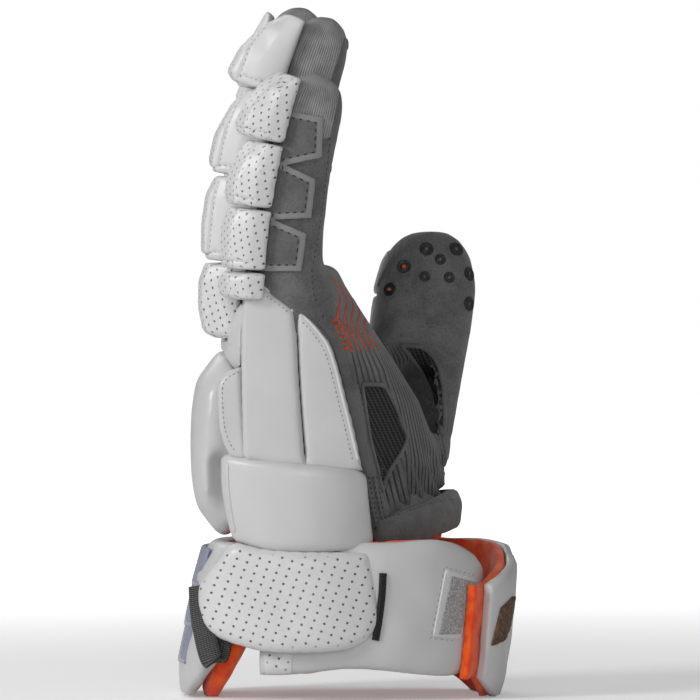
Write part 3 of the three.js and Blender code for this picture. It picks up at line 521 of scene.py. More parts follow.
# Loop pile of hook-and-loop tape: brushed grey fuzz
greyLoop = cloudyFinish(
    "loopPileGrey", "#7E7E7E", "#C4C4C4", (1.0, 5, 0.75, 0.35, 0.65), [(1.0, 5, 0.75, 0.9, 0.6)],
    Roughness=1.0, Sheen_Weight=0.5,
)
# Bonded nylon sewing thread: twisted, slightly shiny
threads = {
    name: cloudyFinish(
        name, dark, light, (0.8, 1, 0.55, 0, 1), [(0.6, 1, 0.55, 0.3, 0.2)], "LINEAR", Roughness=0.5,
    )
    for name, dark, light in (
        ("bondedNylonBlack", "#111111", "#262626"),
        ("bondedNylonGrey", "#8A8A8A", "#B4B4B4"),
        ("bondedNylonDusk", "#5A5A5A", "#787878"),
    )
}
blackThread, greyThread, duskThread = threads.values()
# Moulded synthetic rubber: satin black with a worn rim
blackRubber = cloudyFinish(
    "mouldedRubberBlack", "#161616", "#333333", (1.5, 3, 0.55, 0.35, 0.7), [(1.0, 2, 0.55, 0.2, 0.2)],
    Roughness=0.45,
)
# Screen-printed silicone: bright orange, raised a hair over the suede
orangePrint = cloudyFinish(
    "siliconePrintOrange", "#B93A10", "#E8501E", (2.2, 4, 0.7, 0.35, 0.6), [(0.9, 2, 0.55, 0.3, 0.2)],
    Roughness=0.5,
)
print("materials made:", len(bpy.data.materials))

# Camera: sizes in millimetres, its distance in metres and its rise in degrees
studio = {
    "distance": 3.5, "aimX": 0.75, "aimZ": 165.5, "planeY": -30, "frameWidth": 333.9, "rise": 0.8,
    "sensor": 36, "roomLight": 0.27, "floorSize": 14, "floorDrop": 0.0004,
}
camera = bpy.data.objects.new("camera", bpy.data.cameras.new("camera"))
bpy.context.scene.collection.objects.link(camera)
aim = Vector((studio["aimX"], studio["planeY"], studio["aimZ"])) * mm
rise = math.radians(studio["rise"])
camera.location = aim + Vector((0, -math.cos(rise), math.sin(rise))) * studio["distance"]
camera.rotation_euler = (math.pi / 2 - rise, 0, 0)
camera.data.sensor_width = studio["sensor"]
camera.data.lens = studio["sensor"] * studio["distance"] / (studio["frameWidth"] * mm)
camera.data.clip_end = 60
bpy.context.scene.camera = camera
bpy.context.scene.view_settings.view_transform = "Standard"

# Softboxes: place and size in metres, power in watts
lamps = [
    {"name": "keySoftbox", "place": (-2.2, -1.5, 1.35), "size": 0.9, "power": 38},
    {"name": "frontSoftbox", "place": (-0.2, -2.7, 0.7), "size": 1.1, "power": 13},
    {"name": "rightFill", "place": (1.9, -0.6, 0.6), "size": 0.7, "power": 0.4},
    {"name": "backSoftbox", "place": (-0.8, 1.8, 1.5), "size": 1.2, "power": 8},
]
for lamp in lamps:
    light = bpy.data.lights.new(lamp["name"], "AREA")
    light.size = lamp["size"]
    light.energy = lamp["power"]
    holder = bpy.data.objects.new(lamp["name"], light)
    holder.location = lamp["place"]
    towards = Vector((0, 0, 0.16)) - holder.location
    holder.rotation_euler = towards.to_track_quat("-Z", "Y").to_euler()
    bpy.context.scene.collection.objects.link(holder)

world = bpy.data.worlds.new("paleRoom")
bpy.context.scene.world = world
world.use_nodes = True
roomTree = world.node_tree
roomTree.nodes.clear()
lighting = addNode(roomTree, "ShaderNodeBackground", {"Color": (1, 1, 1, 1), "Strength": studio["roomLight"]})
backdrop = addNode(roomTree, "ShaderNodeBackground", {"Color": (1, 1, 1, 1), "Strength": 1.0})
sight = addNode(roomTree, "ShaderNodeLightPath").outputs["Is Camera Ray"]
# The room lights the glove softly, but the camera sees it white
room = addNode(roomTree, "ShaderNodeMixShader", {0: sight, 1: lighting.outputs[0], 2: backdrop.outputs[0]})
addNode(roomTree, "ShaderNodeOutputWorld", {"Surface": room.outputs[0]})

choose(camera)
bpy.ops.mesh.primitive_plane_add(size=studio["floorSize"], location=(0, 0, -studio["floorDrop"]))
floor = bpy.context.object
floor.name = "floor"
floorPaint, floorTree, floorShader = newMaterial("paintedFloor", Roughness=0.9)
floorShader.inputs["Base Color"].default_value = colour("#F4F4F4")
floorShader.inputs["Emission Color"].default_value = (1, 1, 1, 1)
far = addNode(floorTree, "ShaderNodeTexCoord").outputs["Object"]
farAway = addNode(floorTree, "ShaderNodeVectorMath", {0: far}, operation="LENGTH").outputs["Value"]
seenFloor = addNode(floorTree, "ShaderNodeLightPath").outputs["Is Camera Ray"]
links = {"Value": farAway, "From Min": 0.2, "From Max": 1.5, "To Min": 0.22, "To Max": 0.85}
brighter = addNode(floorTree, "ShaderNodeMapRange", links, interpolation_type="SMOOTHSTEP").outputs[0]
glow = addNode(floorTree, "ShaderNodeMath", {0: brighter, 1: seenFloor}, operation="MULTIPLY").outputs[0]
floorTree.links.new(glow, floorShader.inputs["Emission Strength"])
floor.data.materials.append(floorPaint)
print("studio set")

# Fingers: places and bends as shares of the hand's sizes, turns in degrees, pads as shares of the finger
fingers = {
    "pinky": dict(
        y=-0.46, x=-0.062, fan=-0.02, curl=0.167, reach=0.73, turn=18, root=1.18,
        knuckle=0.0, low=0.39, high=0.67,
    ),
    "ring": dict(
        y=-0.165, x=-0.118, fan=-0.012, curl=0.268, reach=0.952, turn=9, root=1.06,
        knuckle=-0.13, low=0.408, high=0.7,
    ),
    "middle": dict(
        y=0.135, x=-0.13, fan=0.012, curl=0.14, reach=1, turn=-3, root=1.06,
        knuckle=-0.13, low=0.41, high=0.7,
    ),
    "index": dict(
        y=0.43, x=-0.08, fan=0.03, curl=0.16, reach=0.89, turn=-16, root=1.08,
        knuckle=-0.04, low=0.4, high=0.69,
    ),
}
fingerSizes = {"root": 15, "back": 14.5, "foam": 18}


# Middle, way up, way to the front and way to the side of a finger, at a share of its length
def fingerFrame(finger, share):
    rootZ = palmZ(1) - fingerSizes["root"]
    long = fingerSizes["root"] + finger["reach"] * glove["fingerLength"]

    def spine(t):
        return Vector((
            (finger["x"] + finger["curl"] * t * t) * glove["handDepth"] - glove["middleX"],
            (finger["y"] + finger["fan"] * t) * glove["handWidth"] - glove["middleY"],
            rootZ + long * t,
        )) * mm

    along = (spine(share + 0.01) - spine(share - 0.01)).normalized()
    front = Vector((1, 0, 0))
    front = (front - along * front.dot(along)).normalized()
    front = Matrix.Rotation(math.radians(finger["turn"]), 3, along) @ front
    return spine(share), along, front, along.cross(front)


def fingerShare(finger, z):
    long = fingerSizes["root"] + finger["reach"] * glove["fingerLength"]
    return (z / mm - palmZ(1) + fingerSizes["root"]) / long


# Keeps the largest connected set of faces
def keepLargest(bm):
    left, islands = set(bm.faces), []
    while left:
        stack, island = [left.pop()], []
        while stack:
            face = stack.pop()
            island.append(face)
            for edge in face.edges:
                for other in edge.link_faces:
                    if other in left:
                        left.remove(other)
                        stack.append(other)
        islands.append(island)
    islands.sort(key=len)
    bmesh.ops.delete(bm, geom=[face for island in islands[:-1] for face in island], context="FACES")


# Drops the faces that look into the hollow, and closes the openings
def withoutHollow(piece):
    bm = bmesh.new()
    bm.from_mesh(piece.data)
    tree = BVHTree.FromBMesh(bm)
    looking = []
    for face in bm.faces:
        start = face.calc_center_median() + face.normal * 1e-4  # just off the face itself
        if tree.ray_cast(start, face.normal, sightLine)[0] is not None:
            looking.append(face)
    bmesh.ops.delete(bm, geom=looking, context="FACES")
    for _ in range(4):
        keepLargest(bm)
        knots = [v for v in bm.verts if sum(edge.is_boundary for edge in v.link_edges) > 2]
        if not knots:
            break
        bmesh.ops.delete(bm, geom=list({face for v in knots for face in v.link_faces}), context="FACES")
    bmesh.ops.holes_fill(bm, edges=[edge for edge in bm.edges if edge.is_boundary], sides=0)
    bmesh.ops.triangle_fill(bm, use_beauty=True, edges=[edge for edge in bm.edges if edge.is_boundary])
    bmesh.ops.triangulate(bm, faces=[face for face in bm.faces if len(face.verts) > 4])
    bm.to_mesh(piece.data)
    bm.free()
    return piece


def largestIsland(piece):
    bm = bmesh.new()
    bm.from_mesh(piece.data)
    keepLargest(bm)
    bm.to_mesh(piece.data)
    bm.free()
    return piece


# The suede hand: voxels, wall and folds in millimetres; gathers run up from the hem
hand = {
    "voxel": 1.8, "smoothing": 26, "wall": 2.0, "foldDepth": 1.3, "gathers": 34, "gatherSize": 9,
    "knitDepth": 0.5, "knitGrain": (0.006, 0.006, 0.03),
    "sources": ["hand_body", "thumb_sleeve", *[f"{name}_sleeve" for name in fingers]],
}
parts = [withoutHollow(cadCopy(f"{source}Copy", source)) for source in hand["sources"]]
choose(parts[0])
for part in parts[1:]:
    part.select_set(True)
bpy.ops.object.join()
handShell = bpy.context.object
handShell.name = "hand_shell"
remeshed(largestIsland(remeshed(handShell, hand["voxel"], 0)), hand["voxel"], hand["smoothing"])
print("hand fused:", len(handShell.data.vertices), "points")

# The palm runs between its side seam and its ridge; places are in the side view
palmLeft = seenLine(
    (333, 262), (335, 300), (346, 345), (352, 380), (362, 420), (372, 460), (385, 510), (392, 552),
)
palmRight = seenLine(
    (345, 262), (368, 300), (401, 346), (422, 370), (431, 395), (437, 415), (445, 450), (455, 495),
    (462, 552),
)


def lineAt(line, z):
    for (xa, za), (xb, zb) in zip(line, line[1:]):
        if zb <= z <= za:
            return xa + (xb - xa) * (za - z) / (za - zb)
    return line[0][0] if z > line[0][1] else line[-1][0]


def palmShare(p):
    left, right = lineAt(palmLeft, p.z), lineAt(palmRight, p.z)
    return (p.x - left) / (right - left)


def smoothStep(low, high, value):
    t = min(max((value - low) / (high - low), 0.0), 1.0)
    return t * t * (3 - 2 * t)


# Gathers above the hem, and folds in the finger knit
def handFolds(p, n):
    amount = 0.0
    share = palmShare(p)
    if share > -0.05 and p.z < 0.16:
        near = smoothStep(0.128, 0.100, p.z) * smoothStep(-0.05, 0.12, share)
        drift = 2.6 * noise.noise(p / (hand["gatherSize"] * mm))
        wave = math.sin(share * hand["gathers"] + drift + p.z * 90)
        amount += near * hand["foldDepth"] * wave
    if p.z > 0.2:
        stretched = Vector([place / size for place, size in zip(p, hand["knitGrain"])])
        amount += hand["knitDepth"] * noise.noise(stretched) * smoothStep(0.26, 0.29, p.z)
    return amount * mm


def curved(line, count=40):
    return [tuple(smoothRow(line, k / count)) for k in range(count + 1)]


# Places (x, z) seen from the little finger's side, laid on a surface as points and normals
def laidOn(tree, line, step, lift=0.0, way=(0, 1, 0)):
    start = -sightLine * way[1]
    out = []
    for p in spaced([Vector((x, start, z)) for x, z in line], step * mm):
        near, normal, _, _ = tree.ray_cast(p, Vector(way))
        if near:
            out.append((near + normal * lift * mm, normal))
    return out


# Threads, cords, bands and printed lines; each line is a list of (point, normal)
def strands(name, lines, wide, high, sides=6, ends=0.55):
    points, faces, where = [], [], []
    for line in lines:
        first, last, along = len(points), len(line) - 1, 0.0
        for k, (p, n) in enumerate(line):
            way = (line[min(k + 1, last)][0] - line[max(k - 1, 0)][0]).normalized()
            across = way.cross(n).normalized()
            up = across.cross(way).normalized()
            full = ends if k in (0, last) else 1.0
            if k:
                along += (p - line[k - 1][0]).length / mm
            for s in range(sides):
                turn = 2 * math.pi * (s + 0.5) / sides
                w, h = 0.5 * wide * full * math.cos(turn), 0.5 * high * full * math.sin(turn)
                if sides == 4:
                    w, h = w * 1.414, h * 1.414
                points.append(p + (across * w + up * h) * mm)
                where.extend((w, along, 1.0))
        for k in range(last):
            for s in range(sides):
                a, b = first + k * sides + s, first + k * sides + (s + 1) % sides
                faces.append((a, b, b + sides, a + sides))
        faces.append(tuple(first + s for s in range(sides)))
        faces.append(tuple(first + last * sides + s for s in range(sides)))
    piece = newPiece(name, points, faces)
    layer = piece.data.attributes.new("surfaceMm", "FLOAT_VECTOR", "POINT")
    layer.data.foreach_set("vector", where)
    return piece


# Evens out a laid line where it runs over a steep place
def eased(laid, times):
    for _ in range(times):
        inner = [
            ((a[0] + b[0] * 2 + c[0]) / 4, (a[1] + b[1] * 2 + c[1]).normalized())
            for a, b, c in zip(laid, laid[1:], laid[2:])
        ]
        laid = [laid[0], *inner, laid[-1]]
    return laid


# The runs of a laid line where its surface faces the side view
def facing(laid, least):
    runs = [[]]
    for p, n in laid:
        if abs(n.y) > least:
            runs[-1].append((p, n))
        elif runs[-1]:
            runs.append([])
    return [run for run in runs if len(run) > 3]


# Short threads along a laid line: length and gap in millimetres
def stitchLines(laid, length, gap):
    out, travelled, current = [], 0.0, []
    for (p, n), (q, _) in zip(laid, laid[1:]):
        if travelled % (length + gap) < length:
            current.append((p, n))
        elif current:
            if len(current) > 1:
                out.append(current)
            current = []
        travelled += (q - p).length / mm
    if len(current) > 1:
        out.append(current)
    return out


def insideOutline(x, z, outline):
    hit = False
    for (xa, za), (xb, zb) in zip(outline, outline[1:] + outline[:1]):
        if (za > z) != (zb > z) and x < (xb - xa) * (z - za) / (zb - za) + xa:
            hit = not hit
    return hit


# Points of a closed ring (x, z) moved inwards by a distance in millimetres
def insetRing(ring, outlineKd, inset):
    count = len(ring)
    turning = sum(a.x * b.y - b.x * a.y for a, b in zip(ring, ring[1:] + ring[:1]))
    inwards = 1 if turning > 0 else -1
    out = []
    for k, p in enumerate(ring):
        way = (ring[(k + 1) % count] - ring[k - 1]).normalized()
        q = p + Vector((-way.y, way.x)) * inwards * inset * mm
        if outlineKd.find((q.x, 0, q.y))[2] > 0.93 * inset * mm:
            out.append(q)
    return out


# A cut or padded panel laid on a surface, from its outline in the side view; the rim is rounded
def patchOn(
    name, tree, outline, thickness, step=1.5, lift=0.0, way=(0, 1, 0), sink=0.6, rim=0.3, rounding=1.6,
):
    ring = [p.xz for p in spaced([Vector((x, 0, z)) for x, z in outline + outline[:1]], step * mm)][:-1]
    kd = outlineTree(outline)
    flat = [tuple(p) for p in ring]
    spots = list(ring)
    insets = [rounding * share for share in (0.12, 0.35, 0.65, 1.0)]
    for inset in insets:
        spots.extend(insetRing(ring, kd, inset))
    lowX, highX = min(p[0] for p in flat), max(p[0] for p in flat)
    lowZ, highZ = min(p[1] for p in flat), max(p[1] for p in flat)
    pitch = step * mm
    for i in range(int((highX - lowX) / pitch) + 1):
        for j in range(int((highZ - lowZ) / pitch) + 1):
            x, z = lowX + (i + 0.5 * (j % 2)) * pitch, lowZ + j * pitch
            if insideOutline(x, z, flat) and kd.find((x, 0, z))[2] > (rounding + 0.6 * step) * mm:
                spots.append(Vector((x, z)))
    count = len(ring)
    made = delaunay_2d_cdt(spots, [(k, (k + 1) % count) for k in range(count)], [], 1, 1e-6)
    flatPoints, flatFaces = made[0], [tuple(face) for face in made[2]]
    start = -sightLine * way[1]
    under, over, where = [], [], []
    for p in flatPoints:
        near, normal, _, _ = tree.ray_cast(Vector((p[0], start, p[1])), Vector(way))
        if near is None:
            near, normal, _, _ = tree.find_nearest(Vector((p[0], start * 0.28, p[1])))
        edge = kd.find((p[0], 0, p[1]))[2] / mm
        full = min(edge / rounding, 1.0)
        rise = lift + thickness * (rim + (1 - rim) * math.sqrt(max(0.0, 1 - (1 - full) ** 2)))
        over.append(near + normal * rise * mm)
        under.append(near - normal * sink * mm)
        where.extend((p[0] / mm, p[1] / mm, edge))
    total = len(flatPoints)
    borders = {(a, b) for face in flatFaces for a, b in zip(face, face[1:] + face[:1])}
    sides = [(a, b, b + total, a + total) for a, b in borders if (b, a) not in borders]
    faces = flatFaces + [tuple(k + total for k in reversed(face)) for face in flatFaces] + sorted(sides)
    piece = newPiece(name, over + under, faces)
    layer = piece.data.attributes.new("surfaceMm", "FLOAT_VECTOR", "POINT")
    layer.data.foreach_set("vector", where + where)
    return piece


# A closed line inside an outline, laid on a surface
def stitchesRound(tree, outline, inset, way=(0, 1, 0)):
    kd = outlineTree(outline)
    ring = [p.xz for p in spaced([Vector((x, 0, z)) for x, z in outline + outline[:1]], 0.5 * mm)][:-1]
    return laidOn(tree, [tuple(p) for p in insetRing(ring, kd, inset)], 0.4, 0.0, way)


# Punched only where the panel is flat: the third value becomes a mask
def maskByEdge(piece, low, high):
    for item in piece.data.attributes["surfaceMm"].data:
        item.vector[2] = smoothStep(low, high, item.vector[2])
    return piece


# Mesh windows in the palm and beside the thumb, as places in the side view
windowSizes = {"depth": 1.1, "edge": 1.8, "top": 170}
windows = {
    "heel": seenLine(
        (361, 383), (383.6, 385), (390, 396.6), (397.6, 412), (401.4, 424.6), (407.2, 434.8),
        (406.5, 443.8), (399.5, 456.5), (391.2, 468), (384.8, 480.8), (382, 492), (377.2, 469.3),
        (369.5, 438.7), (364.4, 405.5),
    ),
    "thumb": seenLine(
        (401.2, 346.3), (421.6, 347.6), (433.1, 355.2), (440.8, 369.2), (444.6, 389.6), (446, 420),
        (444, 440), (435.7, 408.8), (429.3, 389.6), (421.6, 370.5), (411.4, 357.8),
    ),
}


def outlineTree(outline, step=0.6):
    ring = spaced([Vector((x, 0, z)) for x, z in outline + outline[:1]], step * mm)
    kd = KDTree(len(ring))
    for k, p in enumerate(ring):
        kd.insert(p, k)
    kd.balance()
    return kd


windowTrees = {name: outlineTree(outline) for name, outline in windows.items()}


# The mesh windows lie a little below the suede
def windowSink(p, n):
    if n.y > 0.1 or p.z > windowSizes["top"] * mm:
        return 0.0
    for name, outline in windows.items():
        if insideOutline(p.x, p.z, outline):
            away = windowTrees[name].find((p.x, 0, p.z))[2]
            return -windowSizes["depth"] * mm * smoothStep(0, windowSizes["edge"] * mm, away)
    return 0.0


pushed(handShell, handFolds)
pushed(handShell, windowSink)
# Folds at the root of the thumb, in the side view: width and depth in millimetres
foldSize = {"width": 6, "depth": 1.9}
thumbFolds = [
    [(384, 335), (397, 333.6), (411, 332), (422, 328.5), (432, 323), (441, 315)],
    [(392, 352), (404, 349), (418, 347), (431, 345)],
]
bareTree = shapeTree(handShell)
foldLines = [[p for p, n in laidOn(bareTree, curved(seenLine(*places)), 1.0)] for places in thumbFolds]
creased(handShell, foldLines, foldSize["width"], foldSize["depth"])
handTree = shapeTree(handShell)
knitFrom = {"pinky": 0.71, "ring": 0.3, "middle": 0.3, "index": 0.3}  # shares up the fingers
# The edge of the knit: how sharp it is up the finger, how far out in front it ends, and how softly; all of
# the finger above the cap is knit, and the cords are counted round this radius, in millimetres
knitEdge = {"sharpness": 100, "front": 8.5, "softness": 3, "cap": 0.93, "radius": 12}
# Where the palm's pressed ribs fade in and out: shares across the palm, then heights and a depth in metres;
# towards the thumb they go on round the heel from a start, once in each length
ribFades = {
    "left": (0.02, 0.06), "right": (1.02, 0.98), "low": (0.088, 0.096), "high": (0.172, 0.160),
    "deep": (0.036, 0.028), "turnStart": -0.022, "turnLength": 0.05,
}


def nearestFinger(p):
    best = None
    for name, finger in fingers.items():
        share = fingerShare(finger, p.z)
        if share < 0.05:
            continue
        centre, _, front, side = fingerFrame(finger, min(share, 1.0))
        away = p - centre
        reach = math.hypot(away.dot(side), away.dot(front))
        if best is None or reach < best[0]:
            best = (reach, name, away.dot(side) / mm, away.dot(front) / mm, share)
    return best


# Point attributes: where the knit is, how far round and up, and where the palm is ribbed
def dressHand():
    flat, knit, ribs = [], [], []
    for v in handShell.data.vertices:
        p = v.co
        near = nearestFinger(p) if p.z > 0.2 and p.x < 0.0 else None
        share = palmShare(p)
        amount = 0.0
        if near:
            _, name, across, out, up = near
            above = (up - knitFrom[name]) * knitEdge["sharpness"]
            amount = 0.5 + min(above, knitEdge["front"] - out) / knitEdge["softness"]
            if name != "pinky" and up > knitEdge["cap"]:
                amount = 1.0
            flat.extend((math.atan2(across, -out) * knitEdge["radius"], p.z / mm, 0.0))
        else:
            turned = max(0.0, p.y - ribFades["turnStart"]) / ribFades["turnLength"]
            flat.extend((share + turned, p.z / mm, 0.0))
        knit.append(min(max(amount, 0.0), 1.0))
        ribbed = 0.0
        if v.normal.y < 0.2:
            across = smoothStep(*ribFades["left"], share) * smoothStep(*ribFades["right"], share)
            up = smoothStep(*ribFades["low"], p.z) * smoothStep(*ribFades["high"], p.z)
            ribbed = across * up * smoothStep(*ribFades["deep"], p.y)
        ribs.append(ribbed)
    data = handShell.data
    data.attributes.new("surfaceMm", "FLOAT_VECTOR", "POINT").data.foreach_set("vector", flat)
    data.attributes.new("knit", "FLOAT", "POINT").data.foreach_set("value", knit)
    data.attributes.new("palmRibs", "FLOAT", "POINT").data.foreach_set("value", ribs)


# The hand's open end: lids lie below this height, face down and stand off the part, in millimetres
opening = {"below": 112, "facing": -0.3, "lidDepth": 2.2, "rimPasses": 12}


# Opens the lids below a height, where the part is open, and gives the shell its wall
def hollowOut(piece, source):
    part = cadCopy("lidTest", source)
    tree = shapeTree(part)
    bpy.data.objects.remove(part)
    bm = bmesh.new()
    bm.from_mesh(piece.data)
    lids = []
    for face in bm.faces:
        middle = face.calc_center_median()
        low = middle.z < opening["below"] * mm and face.normal.z < opening["facing"]
        if low and tree.find_nearest(middle)[3] > opening["lidDepth"] * mm:
            lids.append(face)
    bmesh.ops.delete(bm, geom=lids, context="FACES")
    keepLargest(bm)
    rim = [v for v in bm.verts if v.is_boundary]
    for _ in range(opening["rimPasses"]):
        places = []
        for v in rim:
            beside = [edge.other_vert(v).co for edge in v.link_edges if edge.is_boundary]
            places.append((v.co * 2 + sum(beside, Vector())) / (2 + len(beside)))
        for v, place in zip(rim, places):
            v.co = place
    bm.to_mesh(piece.data)
    bm.free()
    applied(piece, "SOLIDIFY", thickness=hand["wall"] * mm, offset=-1)
    print("hand opened:", len(lids), "faces")


print("hand shaped")

# Cloth of the pads' covers
cover = {"quality": 4, "stiffness": 18, "bending": 0.6, "frames": 20}


# One cloth pass for all the pads: air pressure swells each cover as its foam does
def stuffed(pieces, pressure, cap):
    before = {piece.name: [v.co.copy() for v in piece.data.vertices] for piece in pieces}
    for piece in pieces:
        choose(piece)
        cloth = piece.modifiers.new("Cloth", "CLOTH")
        cloth.settings.quality = cover["quality"]
        cloth.settings.use_pressure = True
        cloth.settings.uniform_pressure_force = pressure
        cloth.settings.effector_weights.gravity = 0
        cloth.settings.tension_stiffness = cover["stiffness"]
        cloth.settings.compression_stiffness = cover["stiffness"]
        cloth.settings.bending_stiffness = cover["bending"]
        cloth.point_cache.frame_start = 1
        cloth.point_cache.frame_end = cover["frames"]
    for number in range(1, cover["frames"] + 1):
        bpy.context.scene.frame_set(number)
    for piece in pieces:
        choose(piece)
        bpy.ops.object.modifier_apply(modifier="Cloth")
        moved = 0.0
        for v, old in zip(piece.data.vertices, before[piece.name]):
            step = v.co - old
            moved = max(moved, step.length)
            if step.length > cap * mm:
                v.co = old + step * (cap * mm / step.length)
        piece.data.update()
        print(" ", piece.name, "swelled by", round(moved / mm, 2), "mm")
    bpy.context.scene.frame_set(1)


# Swelling: air pressure of the cloth pass and the most that a point may move, in millimetres
swelling = {
    "fingers": dict(size=1.4, smoothing=4, pressure=2.5, cap=0.7, halved=True),
    "thumb": dict(size=1.4, smoothing=6, pressure=3.0, cap=1.0, halved=False),
    "back": dict(size=1.9, smoothing=14, pressure=4.0, cap=1.8, halved=False),
}
fingerParts = ("knuckle", "lower_pad", "middle_pad", "tip_pad")
padGroups = {
    "fingers": [f"{name}_{part}" for name in fingers for part in fingerParts],
    "thumb": [f"thumb_{part}_pad" for part in ("tip", "middle", "lower")],
    "back": ["back_pad", "back_saddle", "cuff_back"],
}
softPads = {}
for group, sources in padGroups.items():
    settings = swelling[group]
    for source in sources:
        block = cadCopy(source + "_cover", source)
        softPads[source] = remeshed(block, settings["size"], settings["smoothing"])
    stuffed([softPads[source] for source in sources], settings["pressure"], settings["cap"])
    if settings["halved"]:
        for source in sources:
            applied(softPads[source], "SUBSURF", levels=1)
applied(softPads["back_pad"], "SMOOTH", factor=0.5, iterations=26)  # the roundest of the pads
print("pads stuffed:", len(softPads), "with", sum(len(p.data.vertices) for p in softPads.values()), "points")


def fingerLine(finger, share, across, out):
    centre, _, front, side = fingerFrame(finger, share)
    return centre + side * across * mm - front * out * mm


def padBack(finger, share):
    wider = 1 + (finger["root"] - 1) * (1 - max(share, 0))
    return fingerSizes["back"] * wider + fingerSizes["foam"]


# Where the punched holes fade out: over the flanks, in millimetres from the seam, and off the back
holeFades = {"flank": (0.3, 0.8), "seam": (0.8, 1.4), "back": (0.35, 0.6)}


# Round the back of the finger and up it; the strip along the middle is punched
def fingerPadMap(finger, strip):
    def place(p, n):
        share = fingerShare(finger, p.z)
        centre, _, front, side = fingerFrame(finger, share)
        across, out = (p - centre).dot(side) / mm, -(p - centre).dot(front) / mm
        below = max(0.0, padBack(finger, share) + 2 - out)
        flank = smoothStep(*holeFades["flank"], abs(n.dot(side))) * below
        lies = 1.0
        if strip:
            lies = smoothStep(*holeFades["seam"], strip - abs(across))
            lies *= smoothStep(*holeFades["back"], -n.dot(front))
        return across + math.copysign(flank, across), p.z / mm, lies

    return place


# Seams of the finger pads, in millimetres: half the punched strip, the groove, and the lip at the pad's foot
padSeams = {"strip": 7.6, "width": 1.2, "depth": 0.8, "lip": 3.2}
stitchRuns = []


# Grooves along the lines, with a row of stitches lying in each
def sewn(piece, lines, width, depth, stitch=1.5, gap=1.1):
    smooth = shapeTree(piece)
    creased(piece, lines, width, depth)
    tree = shapeTree(piece)
    for line in lines:
        laid = []
        for p in spaced(line, 0.4 * mm):
            near, normal, _, _ = smooth.find_nearest(p)
            sunk = tree.ray_cast(near + normal * 2 * mm, -normal, 6 * mm)[0]  # the bottom of the groove
            if sunk:
                laid.append((sunk + normal * 0.1 * mm, normal))
        stitchRuns.extend(stitchLines(eased(laid, 8), stitch, gap))


# Ends of the pads as shares of the finger, and places across it of the seam at a pad's foot, in millimetres
padEnds = {"knuckle": 0.118, "lower": 0.125, "tip": 0.95, "gap": 0.01}
footSeam = {"across": [-19, -16, -13, -8, -3, 3, 8, 13, 16, 19], "bend": 14, "drop": 9}
for name, finger in fingers.items():
    spans = {
        "knuckle": (finger["knuckle"], padEnds["knuckle"]),
        "lower_pad": (padEnds["lower"], finger["low"] - padEnds["gap"]),
        "middle_pad": (finger["low"], finger["high"] - padEnds["gap"]),
        "tip_pad": (finger["high"], padEnds["tip"]),
    }
    long = fingerSizes["root"] + finger["reach"] * glove["fingerLength"]
    for part, (start, end) in spans.items():
        piece = softPads[f"{name}_{part}"]
        lip = start + padSeams["lip"] / long
        lines = []
        if part != "knuckle" and name != "pinky":
            for across in (-padSeams["strip"], padSeams["strip"]):
                shares = [lip + (end - lip) * k / 10 for k in range(11)]
                lines.append([fingerLine(finger, s, across, padBack(finger, s)) for s in shares])
        if part != "knuckle":
            line = []
            for across in footSeam["across"]:
                drop = 0 if abs(across) < footSeam["bend"] else footSeam["drop"]
                line.append(fingerLine(finger, lip, across, padBack(finger, lip) - drop))
            lines.append(line)
        if lines:
            sewn(piece, lines, padSeams["width"], padSeams["depth"])
        allOver = name == "pinky" or part == "knuckle"
        surfaceMap(piece, fingerPadMap(finger, None if allOver else padSeams["strip"]))
        finished(
            piece, punchedLeather,
            stands=[f"{name}_{part}"],
        )
finished(strands("finger_pad_stitches", stitchRuns, 0.4, 0.35), greyThread)

for source in padGroups["thumb"]:
    finished(softPads[source], whiteLeather, stands=[source])
# The cuff's back leans outwards at its top and its foot: reach, then the heights between which it grows;
# the lean sets in towards the back, between two depths; all in millimetres
cuffLean = {"growth": [(3.2, 30, 64), (2.2, 34, 10)], "deep": (-52, -64)}
for v in softPads["cuff_back"].data.vertices:
    high, deep = v.co.z / mm, v.co.x / mm
    lean = sum(reach * smoothStep(start, end, high) for reach, start, end in cuffLean["growth"])
    v.co.x -= lean * smoothStep(*cuffLean["deep"], deep) * mm
for source in padGroups["back"]:
    finished(softPads[source], whiteLeather, stands=[source])
print("finger pads sewn")

# The way each side's panels are looked at
sides = {"outer": (0, 1, 0), "inner": (0, -1, 0)}


# A hidden sheet to lay panels on: a grid in millimetres that bows by the given depth at 30 mm from its middle
sheetGrid = {"cells": 30, "left": -90, "bottom": 60, "across": 5, "up": 5.4}


def bowedSheet(panel, hand_side):
    points, faces, count = [], [], sheetGrid["cells"] + 1
    outwards = -1 if hand_side == "outer" else 1
    y = panel["y"] - outwards * glove["middleY"]
    for i in range(count):
        for j in range(count):
            x = sheetGrid["left"] + sheetGrid["across"] * i
            z = sheetGrid["bottom"] + sheetGrid["up"] * j
            depth = y - panel["bow"] * ((x - panel["middle"]) / 30) ** 2
            points.append(Vector((x, outwards * depth, z)) * mm)
    for i in range(count - 1):
        for j in range(count - 1):
            k = i * count + j
            faces.append((k, k + count, k + count + 1, k + 1))
    piece = newPiece("sheet", points, faces)
    if (piece.data.polygons[0].normal.y < 0) != (hand_side == "outer"):
        piece.data.flip_normals()
    tree = shapeTree(piece)
    bpy.data.objects.remove(piece)
    return tree


